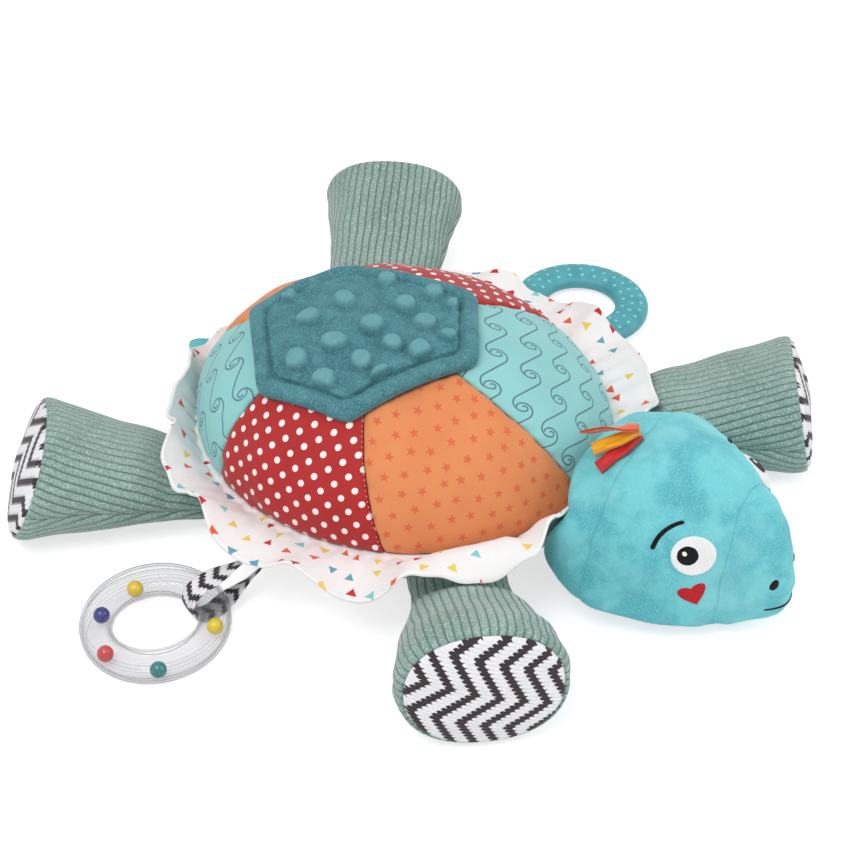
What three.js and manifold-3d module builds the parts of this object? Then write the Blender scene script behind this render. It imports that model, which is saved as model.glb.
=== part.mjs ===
// Plush activity turtle: a padded patchwork shell on a rounded belly, four corduroy flippers, a soft head,
// a frill round the rim, a peekaboo flap, a clear rattle ring and a soft teething ring on webbing loops.
// Millimetres, +Z up. The origin is the centre of the flat foot of the belly; the head looks along -Y.
import * as THREE from 'three';
import { mergeVertices } from 'three/addons/utils/BufferGeometryUtils.js';
import Module from 'manifold-3d';

const wasm = await Module();
wasm.setup();

// Cloth and gaps
const clothThickness = 1.4;
const seamGap = 0.4;
const restGap = 0.8;
const stuffingGap = 1.1;

// Body: shell, belly and the rim seam between them
const shellHalfWidth = 105;
const shellHalfLength = 112;
const shellRise = 70;
const shellLeanSide = -9;
const shellLeanBack = 7;
const rimHeight = 34;
const seamDip = 2.4;
const seamSharpPower = 4;
const endSharpPower = 6;
const bellyFootHalfWidth = 66;
const bellyFootHalfLength = 72;

// Top hexagon and the flap that lies over it
const centreHexRadiusShare = 0.5;
const hexShiftSideShare = -0.1;
const hexShiftBackShare = 0.08;
const flapHexRadiusShare = 0.575;
const flapShiftSideShare = -0.12;
const flapShiftBackShare = 0.12;
const flapThickness = 4.5;
const flapEdgeShare = 0.6;

// Frill round the rim
const frillWidth = 31;
const frillThickness = 1.6;
const frillFoldDepth = 4.5;
const frillSeamInset = 3;
const frillSeamReach = 2;
const frillFolds = 14;
const frillFoldPower = 1.5;

// Flippers
const flipperLength = 92;
const flipperRootHalfWidth = 25;
const flipperEndHalfWidth = 41;
const flipperRootHalfHeight = 13.5;
const flipperEndHalfHeight = 32;
const flipperRootCentre = 17.5;
const flipperFloorGap = 0.6;
const flipperBury = 34;
const flipperFlarePower = 1.15;
const flipperSquarePower = 0.9;
const soleThickness = 2;
const soleBulge = 5;
const soleSlope = 0.2;

// Head, in its own frame: y runs from the back of the head to the nose
const headTurnShare = -0.024;
const faceLeanShare = 0.11;
const headTuck = 14;
const headLength = 128;
const headBack = headTuck - shellHalfLength;
const headNose = headBack - headLength;
const headHalfWidth = 52;
const headCrown = 74;
const headWaistHeight = 18;
const headWaistDrop = 12;
const headChinDepth = 14;
const headTaperShare = 0.52;
const headFullnessShare = 0.15;
const crownDomeShare = 0.2;
const crownFullnessShare = 0.16;
const waistFlatShare = 0.5;
const headBackShare = -0.97;
const headFloorGap = 0.6;
const headClearance = 0.8;
const crownSeamFromBack = 42;
const muzzleSeamFromNose = 26;
const muzzleCreaseDepth = 2;
const muzzleCreaseWidth = 6;
const crownSeamAt = headBack - crownSeamFromBack;
const muzzleSeamAt = headNose + muzzleSeamFromNose;

// Face
const patchThickness = 1;
const eyeRadius = 11.4;
const pupilRadius = 5.3;
const pupilBackShift = 3;
const eyeSide = 31;
const eyeFromNose = 41;
const eyeHeight = 53;
const browRadius = 20.5;
const browWidth = 2.4;
const browFromShare = 0.95;
const browToShare = 0.6;
const heartSide = 38;
const heartFromNose = 35;
const heartHeight = 33;
const heartSize = 13;
const heartLobeShare = 0.81;
const heartDipShare = 0.31;
const heartPointShare = 0.12;
const nostrilSide = 9.6;
const nostrilFromNose = 12;
const nostrilHeight = 35;
const nostrilLength = 6;
const nostrilWidth = 3;
const smileHalfLength = 14;
const smileHeight = 21;
const smileSag = 1;
const smileWidth = 1.8;
const eyeAt = headNose + eyeFromNose;
const heartAt = headNose + heartFromNose;
const nostrilAt = headNose + nostrilFromNose;

// Tail
const tailLength = 26;
const tailHalfWidth = 17;
const tailHalfHeight = 7;
const tailHeight = 24;
const tailRiseShare = 0.35;
const tailTipWidthShare = 0.55;
const tailTipHeightShare = 0.6;
const tailTipRoundShare = 0.02;

// Ribbons on the crown seam
const ribbonLength = 31;
const ribbonWidth = 9;
const ribbonThickness = 0.6;
const ribbonRootSide = -8;

// Rattle ring, its beads and its webbing loop
const rattleRingRadius = 29.3;
const rattleTubeRadius = 8.7;
const rattleWall = 1.3;
const beadRadius = 4.2;
const rattleRingReach = 72;
const rattleRingTurnShare = 0.461;
const rattleRootShare = 0.489;

// Teething ring
const teetherRingRadius = 29.6;
const teetherHalfBand = 9.6;
const teetherHalfHeight = 5;
const teetherSquarePower = 0.8;
const teetherRingReach = 66;
const teetherRingTurnShare = -0.017;
const teetherRootShare = -0.017;

// Webbing loops that hold the rings
const webbingWidth = 12;
const webbingThickness = 1.1;
const webbingGap = 1.6;
const webbingRootHeight = 26;
const webbingBury = 4;
const floorGap = 0.3;

// Facet counts
const rimSides = 42;
const bodyRows = 5;
const domeRises = [0, 0.16, 0.36, 0.6, 0.88, 1.2];
const centreRings = 3;
const flapSides = 21;
const flapRings = 4;
const panelRows = 6;
const limbSides = 16;
const limbRings = 6;
const headSides = 24;
const headRings = 14;
const frillSides = 72;
const frillRows = 3;
const ringSides = 28;
const patchSides = 14;
const beadSides = 8;
const tubeSteps = 5;
const bandSides = 10;
const arcSteps = 12;
const tinyShare = 1e-9;

const turnFull = Math.PI * 2;
const turnHalf = Math.PI;
const turnQuarter = Math.PI / 2;
const panelCount = 6;
const rimStart = Math.asin((frillThickness / 2 + seamGap) / shellRise);

const turtle = new THREE.Group();

// Cloth colours
const cloth = (color, roughness = 0.9) => new THREE.MeshStandardMaterial({ color, roughness, metalness: 0 });
const clearPlastic = () => new THREE.MeshStandardMaterial({
  color: 0xf2f4f4,
  roughness: 0.08,
  metalness: 0,
  transparent: true,
  opacity: 0.3,
});
const glossPlastic = (color) => new THREE.MeshStandardMaterial({ color, roughness: 0.25, metalness: 0 });

function addPiece(name, geometry, material) {
  const mesh = new THREE.Mesh(geometry, material);
  mesh.name = name;
  turtle.add(mesh);
  return mesh;
}

// Builds an indexed geometry and turns its faces outward
function solidFrom(points, faces) {
  const geometry = new THREE.BufferGeometry();
  const positions = new Float32Array(points.flatMap((p) => [p.x, p.y, p.z]));
  geometry.setAttribute('position', new THREE.BufferAttribute(positions, 3));
  geometry.setIndex(signedVolume(points, faces) < 0 ? faces.flatMap(([a, b, c]) => [a, c, b]) : faces.flat());
  return mergeVertices(geometry);
}

function signedVolume(points, faces) {
  const cross = new THREE.Vector3();
  let sum = 0;
  for (const [a, b, c] of faces) {
    sum += points[a].dot(cross.crossVectors(points[b], points[c]));
  }
  return sum;
}

// A closed body through rings of equal count; each end closes on the mean of its ring or on a given tip
function loftRings(rings, tips = []) {
  const sides = rings[0].length;
  const points = rings.flat();
  const faces = [];
  for (let ring = 0; ring + 1 < rings.length; ring += 1) {
    for (let side = 0; side < sides; side += 1) {
      const a = ring * sides + side;
      const b = ring * sides + ((side + 1) % sides);
      faces.push([a, b, b + sides], [a, b + sides, a + sides]);
    }
  }
  const last = (rings.length - 1) * sides;
  const ends = [tips[0] ?? meanPoint(rings[0]), tips[1] ?? meanPoint(rings[rings.length - 1])];
  points.push(...ends);
  for (let side = 0; side < sides; side += 1) {
    const next = (side + 1) % sides;
    faces.push([next, side, points.length - 2]);
    faces.push([last + side, last + next, points.length - 1]);
  }
  return solidFrom(points, faces);
}

// A ring-shaped body through sections that close on the first one again
function loftLoop(sections) {
  const sides = sections[0].length;
  const points = sections.flat();
  const faces = [];
  for (let section = 0; section < sections.length; section += 1) {
    const next = (section + 1) % sections.length;
    for (let side = 0; side < sides; side += 1) {
      const turn = (side + 1) % sides;
      const [a, b] = [section * sides + side, section * sides + turn];
      const [c, d] = [next * sides + side, next * sides + turn];
      faces.push([a, c, d], [a, d, b]);
    }
  }
  return solidFrom(points, faces);
}

// A sheet with thickness: face(u, v, side) gives the outer skin at side 0 and the inner skin at side 1
function sheetSolid(columns, rows, face) {
  const points = [];
  const at = (side, column, row) => side * (columns + 1) * (rows + 1) + column * (rows + 1) + row;
  for (const side of [0, 1]) {
    for (let column = 0; column <= columns; column += 1) {
      for (let row = 0; row <= rows; row += 1) {
        points.push(face(column / columns, row / rows, side));
      }
    }
  }
  const faces = [];
  const addQuad = (a, b, c, d) => faces.push([a, b, c], [a, c, d]);
  for (let column = 0; column < columns; column += 1) {
    for (let row = 0; row < rows; row += 1) {
      addQuad(at(0, column, row), at(0, column + 1, row), at(0, column + 1, row + 1), at(0, column, row + 1));
      addQuad(at(1, column, row), at(1, column, row + 1), at(1, column + 1, row + 1), at(1, column + 1, row));
    }
  }
  for (let column = 0; column < columns; column += 1) {
    addQuad(at(0, column, 0), at(1, column, 0), at(1, column + 1, 0), at(0, column + 1, 0));
    addQuad(at(0, column, rows), at(0, column + 1, rows), at(1, column + 1, rows), at(1, column, rows));
  }
  for (let row = 0; row < rows; row += 1) {
    addQuad(at(0, 0, row), at(0, 0, row + 1), at(1, 0, row + 1), at(1, 0, row));
    addQuad(at(0, columns, row), at(1, columns, row), at(1, columns, row + 1), at(0, columns, row + 1));
  }
  return solidFrom(points, faces);
}

// A pad over a closed outline: pointAt(turn, share, side) runs from the centre, share 0, to the edge, share 1
function padSolid(sides, rings, pointAt) {
  const skin = (side) =>
    Array.from({ length: rings }, (_, ring) =>
      Array.from({ length: sides }, (_, step) => pointAt(step / sides, (ring + 1) / rings, side)),
    );
  return loftRings([...skin(0), ...skin(1).reverse()], [pointAt(0, 0, 0), pointAt(0, 0, 1)]);
}

function meanPoint(points) {
  const mean = new THREE.Vector3();
  points.forEach((p) => mean.add(p));
  return mean.divideScalar(points.length);
}

// Solid cuts
function toManifold(geometry) {
  const bare = new THREE.BufferGeometry();
  bare.setAttribute('position', geometry.getAttribute('position'));
  bare.setIndex(geometry.getIndex());
  const merged = mergeVertices(bare);
  return new wasm.Manifold(
    new wasm.Mesh({
      numProp: 3,
      vertProperties: new Float32Array(merged.getAttribute('position').array),
      triVerts: new Uint32Array(merged.getIndex().array),
    }),
  );
}

function fromManifold(manifold) {
  const { vertProperties, triVerts } = manifold.getMesh();
  const geometry = new THREE.BufferGeometry();
  geometry.setAttribute('position', new THREE.BufferAttribute(new Float32Array(vertProperties), 3));
  geometry.setIndex(Array.from(triVerts));
  return geometry;
}

const cutBy = (geometry, cutter) => fromManifold(toManifold(geometry).subtract(cutter));

// Shapes shared by the cover, the stuffing and what is cut to fit them
const roundPower = (value, power) => Math.sign(value) * Math.abs(value) ** power;
const mix = (a, b, share) => a + (b - a) * share;
const smooth = (share) => share * share * (3 - 2 * share);
const clampShare = (value) => Math.min(1, Math.max(0, value));
const ease = (value, from, to) => smooth(clampShare((value - from) / (to - from)));

// The shell's surface over a plan point given in shares of its half sizes
function shellPoint(sideShare, backShare, depth) {
  const up = Math.sqrt(Math.max(0, 1 - sideShare * sideShare - backShare * backShare));
  return new THREE.Vector3(
    (shellHalfWidth - depth) * sideShare + shellLeanSide * up,
    (shellHalfLength - depth) * backShare + shellLeanBack * up,
    rimHeight + (shellRise - depth) * up,
  );
}

const shellAt = (turn, rise, depth) =>
  shellPoint(Math.cos(rise) * Math.cos(turn), Math.cos(rise) * Math.sin(turn), depth);

// The belly's surface: rows run from the rim, 0, down to the edge of the flat foot, 1
function bellyPoint(turn, row, depth) {
  const bend = row * turnQuarter;
  const top = rimHeight - frillThickness / 2 - seamGap;
  return new THREE.Vector3(
    (mix(bellyFootHalfWidth, shellHalfWidth, Math.cos(bend)) - depth) * Math.cos(turn),
    (mix(bellyFootHalfLength, shellHalfLength, Math.cos(bend)) - depth) * Math.sin(turn),
    mix(top, depth, Math.sin(bend)),
  );
}

const cornerTurn = (seam) => -turnQuarter + (seam * turnFull) / panelCount;

// Where a seam from the hexagon's centre meets the rim
function seamTurn(seam) {
  const [side, back] = [Math.cos(cornerTurn(seam)), Math.sin(cornerTurn(seam))];
  const along = hexShiftSideShare * side + hexShiftBackShare * back;
  const across = hexShiftSideShare ** 2 + hexShiftBackShare ** 2 - along ** 2;
  const reach = Math.sqrt(1 - across) - along;
  const turn = Math.atan2(hexShiftBackShare + reach * back, hexShiftSideShare + reach * side);
  return turn + turnFull * Math.round((cornerTurn(seam) - turn) / turnFull);
}

const aroundRim = (pointAt) =>
  Array.from({ length: rimSides }, (_, step) => pointAt((step / rimSides) * turnFull));

// A hexagon's outline in plan shares; corners stand on the seams
function hexShare(turnShare, radiusShare) {
  const corner = Math.floor(turnShare * panelCount + tinyShare);
  const along = turnShare * panelCount - corner;
  const [a, b] = [cornerTurn(corner), cornerTurn(corner + 1)];
  return [
    radiusShare * mix(Math.cos(a), Math.cos(b), along),
    radiusShare * mix(Math.sin(a), Math.sin(b), along),
  ];
}

// Body stuffing and belly
function bodyForm(depth) {
  const rings = [];
  for (let row = bodyRows; row >= 0; row -= 1) {
    rings.push(aroundRim((turn) => bellyPoint(turn, row / bodyRows, depth)));
  }
  for (const rise of domeRises) {
    rings.push(aroundRim((turn) => shellAt(turn, Math.max(rise, rimStart), depth)));
  }
  return loftRings(rings, [undefined, shellPoint(0, 0, depth)]);
}

function bellyPanel() {
  const ring = (row, depth) => aroundRim((turn) => bellyPoint(turn, row / bodyRows, depth));
  const wall = (depth) => Array.from({ length: bodyRows + 1 }, (_, row) => ring(row, depth));
  return loftRings([...wall(0).reverse(), ...wall(clothThickness)]);
}

addPiece('belly_panel', bellyPanel(), cloth(0xf1f0ec));
addPiece('body_stuffing', bodyForm(seamDip + clothThickness + stuffingGap), cloth(0xf5f5f2));

const bodyCutter = toManifold(bodyForm(-seamGap));

// Shell panels: six padded patches between the rim and the hexagon
const sidesPerPanel = rimSides / panelCount;

function panelPoint(panel, across, up, side) {
  const seamA = seamTurn(panel);
  const seamB = seamTurn(panel + 1);
  const edge = hexShare((panel + Math.min(across, 1 - 2 * tinyShare)) / panelCount, centreHexRadiusShare);
  const [hexSide, hexBack] = [edge[0] + hexShiftSideShare, edge[1] + hexShiftBackShare];
  const hexTurn = seamA + Math.atan2(
    hexBack * Math.cos(seamA) - hexSide * Math.sin(seamA),
    hexSide * Math.cos(seamA) + hexBack * Math.sin(seamA),
  );
  const hexRise = Math.acos(Math.hypot(hexSide, hexBack)) - seamGap / shellHalfWidth;
  const rise = mix(rimStart, hexRise, up);
  const inward = seamGap / 2 / (shellHalfWidth * Math.cos(rise));
  const turn = mix(mix(seamA, seamB, across), hexTurn, up) + inward * (1 - 2 * across);
  const nearSeam = Math.abs(2 * across - 1) ** seamSharpPower;
  const nearEnd = Math.abs(2 * up - 1) ** endSharpPower;
  const dip = seamDip * Math.max(nearSeam, nearEnd);
  return shellAt(turn, rise, side ? seamDip + clothThickness : dip);
}

const patchNames = ['wave', 'dot', 'star'];
const patchColors = [0x91d0cd, 0xb4232a, 0xeb965f];
for (let panel = 0; panel < panelCount; panel += 1) {
  const kind = panel % patchNames.length;
  const end = panel < patchNames.length ? 'left' : 'right';
  const geometry = sheetSolid(sidesPerPanel, panelRows, (u, v, side) => panelPoint(panel, u, v, side));
  addPiece(`shell_${patchNames[kind]}_patch_${end}`, geometry, cloth(patchColors[kind]));
}

// Centre hexagon under the flap
function centrePoint(turnShare, share, side) {
  const [hexSide, hexBack] = hexShare(turnShare, centreHexRadiusShare);
  const shrink = share * (1 - seamGap / 2 / (shellHalfWidth * centreHexRadiusShare));
  const [sideShare, backShare] = [hexShiftSideShare + hexSide * shrink, hexShiftBackShare + hexBack * shrink];
  return shellPoint(sideShare, backShare, side ? seamDip + clothThickness : seamDip * share ** endSharpPower);
}

addPiece('shell_centre_patch', padSolid(rimSides, centreRings, centrePoint), cloth(0x3f9a93));

// Peekaboo flap: two layers of dotted plush, sewn along its tail-side edge
function flapPoint(turnShare, share, side) {
  const [hexSide, hexBack] = hexShare(turnShare, flapHexRadiusShare);
  const edge = restGap + flapThickness * (1 - share ** endSharpPower);
  return shellPoint(
    flapShiftSideShare + hexSide * share,
    flapShiftBackShare + hexBack * share,
    side ? -restGap : -mix(edge, restGap + flapThickness, flapEdgeShare),
  );
}

addPiece('peekaboo_flap', padSolid(flapSides, flapRings, flapPoint), cloth(0x55969f));

// Frill: a folded strip sewn into the rim seam. Its keys stand at shares of a turn from +X and give how far
// it stands up in shares of a quarter turn, its width and the depth of its folds
const frillKeys = [
  { atShare: -0.5, riseShare: 0.17, widthShare: 1, foldShare: 1 },
  { atShare: -0.444, riseShare: 0.09, widthShare: 1, foldShare: 0.8 },
  { atShare: -0.417, riseShare: 0.38, widthShare: 1, foldShare: 0.5 },
  { atShare: -0.375, riseShare: 0.42, widthShare: 1, foldShare: 0.7 },
  { atShare: -0.339, riseShare: 0.42, widthShare: 1, foldShare: 0.8 },
  { atShare: -0.305, riseShare: 0.72, widthShare: 0.85, foldShare: 0.2 },
  { atShare: -0.25, riseShare: 0.84, widthShare: 0.72, foldShare: 0.2 },
  { atShare: -0.194, riseShare: 0.67, widthShare: 0.85, foldShare: 0.2 },
  { atShare: -0.144, riseShare: 0.24, widthShare: 0.75, foldShare: 0.3 },
  { atShare: -0.111, riseShare: 0.2, widthShare: 0.85, foldShare: 0.4 },
  { atShare: -0.069, riseShare: 0.19, widthShare: 0.9, foldShare: 1 },
  { atShare: 0, riseShare: 0.02, widthShare: 1, foldShare: 1 },
  { atShare: 0.033, riseShare: 0.06, widthShare: 0.9, foldShare: 0.8 },
  { atShare: 0.067, riseShare: 0.29, widthShare: 0.6, foldShare: 0.4 },
  { atShare: 0.139, riseShare: 0.29, widthShare: 0.6, foldShare: 0.4 },
  { atShare: 0.183, riseShare: -0.09, widthShare: 0.6, foldShare: 0.8 },
  { atShare: 0.217, riseShare: -0.06, widthShare: 0.5, foldShare: 0.5 },
  { atShare: 0.25, riseShare: 0.18, widthShare: 0.42, foldShare: 0.3 },
  { atShare: 0.289, riseShare: 0.73, widthShare: 0.62, foldShare: 0.5 },
  { atShare: 0.333, riseShare: 0.76, widthShare: 0.66, foldShare: 0.7 },
  { atShare: 0.367, riseShare: 0.56, widthShare: 0.75, foldShare: 0.8 },
  { atShare: 0.403, riseShare: 0.49, widthShare: 0.95, foldShare: 1 },
  { atShare: 0.439, riseShare: 0.33, widthShare: 1, foldShare: 1 },
  { atShare: 0.472, riseShare: 0.22, widthShare: 1, foldShare: 1 },
];

function frillShape(turnShare) {
  const count = frillKeys.length;
  const turnAfter = (share, from) => (share - from + 2) % 1;
  const spanOf = (key) => turnAfter(frillKeys[(key + 1) % count].atShare, frillKeys[key].atShare);
  const key = frillKeys.findIndex(({ atShare }, index) => turnAfter(turnShare, atShare) <= spanOf(index));
  const [from, to] = [frillKeys[key], frillKeys[(key + 1) % count]];
  const along = smooth(turnAfter(turnShare, from.atShare) / spanOf(key));
  return {
    rise: mix(from.riseShare, to.riseShare, along) * turnQuarter,
    width: mix(from.widthShare, to.widthShare, along) * frillWidth,
    foldDepth: mix(from.foldShare, to.foldShare, along) * frillFoldDepth,
  };
}

// The frill's path runs from inside the seam, reach 0, out past the rim and up to the hem, reach 1
function frillPoint(turnShare, reachShare, side) {
  const turn = turnShare * turnFull;
  const { rise, width, foldDepth } = frillShape(turnShare);
  const path = reachShare * (frillSeamInset + frillSeamReach + width) - frillSeamInset;
  const out = Math.max(0, path - frillSeamReach);
  const fold = foldDepth * Math.sin(frillFolds * turn) * (out / width) ** frillFoldPower;
  const lean = rise * ease(path, 0, frillSeamReach);
  const lift = fold + (side ? -frillThickness / 2 : frillThickness / 2);
  const radial = Math.min(path, frillSeamReach) + Math.cos(rise) * out - Math.sin(lean) * lift;
  return new THREE.Vector3(
    (shellHalfWidth + radial) * Math.cos(turn),
    (shellHalfLength + radial) * Math.sin(turn),
    rimHeight + Math.sin(rise) * out + Math.cos(lean) * lift,
  );
}

// Rows stand closer at the seam, where the strip turns up
const frillReaches = [0, frillSeamInset, frillSeamInset + frillSeamReach]
  .map((reach) => reach / (frillSeamInset + frillSeamReach + frillWidth));
for (let row = 1; row <= frillRows; row += 1) {
  frillReaches.push(mix(frillReaches[2], 1, row / frillRows));
}

function frillSection(step) {
  const top = frillReaches.map((reach) => frillPoint(step / frillSides, reach, 0));
  const under = frillReaches.map((reach) => frillPoint(step / frillSides, reach, 1));
  return [...top, ...under.reverse()];
}

const frillSections = Array.from({ length: frillSides }, (_, step) => frillSection(step));
addPiece('frill', loftLoop(frillSections), cloth(0xf4f3f0));

// The room of the body and the frill, which cuts the back of the head
function frillRoom() {
  const ring = (pointAt) => Array.from({ length: frillSides }, (_, step) => pointAt(step / frillSides));
  const grown = (turnShare, reach) => {
    const point = frillPoint(turnShare, reach, 1);
    point.x += headClearance * Math.cos(turnShare * turnFull);
    point.y += headClearance * Math.sin(turnShare * turnFull);
    return point;
  };
  const rings = [];
  for (let row = bodyRows; row >= 0; row -= 1) {
    rings.push(ring((share) => bellyPoint(share * turnFull, row / bodyRows, -headClearance)));
  }
  for (const reach of frillReaches.slice(2)) {
    rings.push(ring((share) => grown(share, reach)));
  }
  rings.push(ring((share) => grown(share, 1).add(new THREE.Vector3(0, 0, headClearance + frillThickness))));
  rings.push(ring((share) => shellAt(share * turnFull, turnQuarter / 2, -headClearance)));
  return toManifold(loftRings(rings, [undefined, shellPoint(0, 0, -headClearance)]));
}

// Flippers: flared, each of an upper and a lower corduroy cover, a sole and its stuffing
const flippers = [
  { name: 'front_right', rootShare: -0.383, aimShare: -0.392, reachShare: 0.97 },
  { name: 'front_left', rootShare: -0.133, aimShare: -0.172, reachShare: 1.12 },
  { name: 'rear_right', rootShare: 0.381, aimShare: 0.347, reachShare: 0.99 },
  { name: 'rear_left', rootShare: 0.106, aimShare: 0.067, reachShare: 1.14 },
];

const rimPoint = (turn, height) =>
  new THREE.Vector3(shellHalfWidth * Math.cos(turn), shellHalfLength * Math.sin(turn), height);

// Places a point given along, across and above a limb's root
function placeLimb(limb, along, across, height) {
  const aim = limb.aimShare * turnFull;
  const root = rimPoint(limb.rootShare * turnFull, height);
  root.x += along * Math.cos(aim) - across * Math.sin(aim);
  root.y += along * Math.sin(aim) + across * Math.cos(aim);
  return root;
}

function flipperSection(limb, along, depth, lift) {
  const share = Math.max(0, along / (flipperLength * limb.reachShare));
  const halfWidth = mix(flipperRootHalfWidth, flipperEndHalfWidth, share ** flipperFlarePower) - depth;
  const halfHeight = mix(flipperRootHalfHeight, flipperEndHalfHeight, share ** flipperFlarePower) - depth;
  const centre = mix(flipperRootCentre, flipperFloorGap + flipperEndHalfHeight, share);
  return (turn, widthShare = 1) => {
    const across = widthShare * halfWidth * roundPower(Math.cos(turn), flipperSquarePower);
    const above = widthShare * halfHeight * roundPower(Math.sin(turn), flipperSquarePower);
    return placeLimb(limb, along - soleSlope * above * share * share, across, centre + above + lift);
  };
}

const limbAlong = (limb, share) => mix(-flipperBury, flipperLength * limb.reachShare - seamGap / 2, share);

function flipperCover(limb, upper) {
  const lift = upper ? seamGap / 2 : -seamGap / 2;
  return sheetSolid(limbSides / 2, limbRings, (u, v, side) => {
    const section = flipperSection(limb, limbAlong(limb, v), side ? clothThickness : 0, lift);
    return section((upper ? u : u + 1) * turnHalf);
  });
}

function flipperStuffing(limb) {
  const rings = [];
  for (let ring = 0; ring <= limbRings; ring += 1) {
    const section = flipperSection(limb, limbAlong(limb, ring / limbRings), clothThickness + seamGap, 0);
    rings.push(Array.from({ length: limbSides }, (_, side) => section((side / limbSides) * turnFull)));
  }
  return loftRings(rings);
}

function flipperSole(limb) {
  const seat = flipperLength * limb.reachShare + seamGap / 2;
  return padSolid(limbSides, 2, (turnShare, share, side) => {
    const front = soleThickness + soleBulge * (1 - share ** 2);
    const point = flipperSection(limb, seat, 0, 0)(turnShare * turnFull, share);
    const aim = limb.aimShare * turnFull;
    point.x += (side ? 0 : front) * Math.cos(aim);
    point.y += (side ? 0 : front) * Math.sin(aim);
    return point;
  });
}

for (const limb of flippers) {
  const corduroy = () => cloth(0x87aa9e, 0.95);
  addPiece(`${limb.name}_flipper_upper_cover`, cutBy(flipperCover(limb, true), bodyCutter), corduroy());
  addPiece(`${limb.name}_flipper_lower_cover`, cutBy(flipperCover(limb, false), bodyCutter), corduroy());
  addPiece(`${limb.name}_flipper_stuffing`, cutBy(flipperStuffing(limb), bodyCutter), cloth(0xf5f5f2));
  addPiece(`${limb.name}_flipper_sole`, flipperSole(limb), cloth(0xd8d6d6));
}

// Tail: a small stuffed fin
function tailForm() {
  const limb = { rootShare: 0.25, aimShare: 0.25 };
  const rings = [];
  for (let ring = 0; ring <= limbRings; ring += 1) {
    const along = mix(-tailLength / 2, tailLength, ring / limbRings);
    const share = Math.max(0, along / tailLength);
    const round = Math.sqrt(Math.max(tailTipRoundShare, 1 - share ** 3));
    const halfWidth = tailHalfWidth * mix(1, tailTipWidthShare, share) * round;
    const halfHeight = tailHalfHeight * mix(1, tailTipHeightShare, share) * round;
    const height = tailHeight + tailLength * tailRiseShare * share;
    rings.push(Array.from({ length: patchSides }, (_, side) => {
      const turn = (side / patchSides) * turnFull;
      return placeLimb(limb, along, halfWidth * Math.cos(turn), height + halfHeight * Math.sin(turn));
    }));
  }
  return loftRings(rings);
}

addPiece('tail', cutBy(tailForm(), bodyCutter), cloth(0x5cc0c8));

// Head: an egg with a flat chin, wider at the back, and a seam across the crown and round the muzzle
const headMiddle = (headBack + headNose) / 2;
const headHalfLength = (headBack - headNose) / 2;

// Sizes of the head's section at a share of its half length, -1 at the back and 1 at the nose
function headSizes(share, depth) {
  const seam = (headMiddle - muzzleSeamAt) / headHalfLength;
  const fromSeam = ((share - seam) * headHalfLength) / muzzleCreaseWidth;
  const crease = muzzleCreaseDepth * Math.exp(-fromSeam * fromSeam);
  const round = Math.sqrt(Math.max(0, 1 - share * share));
  const wide = 1 - headTaperShare * share + headFullnessShare * share * share;
  const tall = 1 + crownDomeShare * share + crownFullnessShare * share * share;
  return {
    halfWidth: (headHalfWidth * wide - depth) * round - crease,
    crown: (headCrown * tall - depth) * round - crease,
    chin: (headChinDepth - depth / 2) * round,
    waist: headWaistHeight - headWaistDrop * share * mix(1, waistFlatShare, clampShare(share)),
  };
}

const headTurn = headTurnShare * turnHalf;
const neckPoint = new THREE.Vector3(0, headBack, 0);
const turnHead = (point) =>
  point.sub(neckPoint).applyAxisAngle(new THREE.Vector3(0, 0, 1), headTurn).add(neckPoint);

function headPoint(share, turn, depth) {
  const sizes = headSizes(share, depth);
  const lift = Math.sin(turn);
  return new THREE.Vector3(
    sizes.halfWidth * Math.cos(turn),
    headMiddle - (headHalfLength - depth) * share,
    Math.max(headFloorGap + depth, sizes.waist + (lift > 0 ? sizes.crown : sizes.chin) * lift),
  );
}

// A cover between two seams, as a tube of cloth; the nose end closes as a cup
function headCover(fromShare, toShare, rings) {
  const row = (share, depth) => Array.from({ length: headSides }, (_, side) => {
    return turnHead(headPoint(share, (side / headSides) * turnFull, depth));
  });
  const rows = (depth) =>
    Array.from({ length: rings + 1 }, (_, ring) => {
      const bend = mix(Math.asin(fromShare), Math.asin(toShare), ring / rings);
      return row(Math.sin(bend), depth);
    });
  const [outer, inner] = [rows(0), rows(clothThickness)];
  if (toShare < 1) {
    const around = (list, side) => list.map((ring) => ring[side]);
    return loftLoop(Array.from({ length: headSides }, (_, side) => {
      return [...around(outer, side), ...around(inner, side).reverse()];
    }));
  }
  outer.pop();
  inner.pop();
  const tips = [turnHead(headPoint(1, 0, 0)), turnHead(headPoint(1, 0, clothThickness))];
  return loftRings([...outer.reverse(), ...inner], tips);
}

const headShareAt = (along, side) => (headMiddle - along + (side * seamGap) / 2) / headHalfLength;

function headStuffing() {
  const depth = clothThickness + stuffingGap;
  const rings = [];
  for (let ring = 1; ring < headRings; ring += 1) {
    const share = -Math.cos((ring / headRings) * turnHalf);
    rings.push(Array.from({ length: headSides }, (_, side) =>
      turnHead(headPoint(share, (side / headSides) * turnFull, depth))));
  }
  return loftRings(rings, [turnHead(headPoint(-1, 0, depth)), turnHead(headPoint(1, 0, depth))]);
}

const headCutter = frillRoom();
const plush = () => cloth(0x6ec8cd, 1);
const covers = [
  ['head_back_cover', headBackShare, headShareAt(crownSeamAt, -1), 5],
  ['head_face_cover', headShareAt(crownSeamAt, 1), headShareAt(muzzleSeamAt, -1), 7],
];
for (const [name, from, to, rings] of covers) {
  addPiece(name, cutBy(headCover(from, to, rings), headCutter), plush());
}
addPiece('muzzle_cover', headCover(headShareAt(muzzleSeamAt, 1), 1, 5), plush());
addPiece('head_stuffing', cutBy(headStuffing(), headCutter), cloth(0xf5f5f2));

// Where a line from the head's core meets its surface, moved out by a given distance
const headCore = new THREE.Vector3(0, headMiddle, headWaistHeight + headChinDepth);

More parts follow.
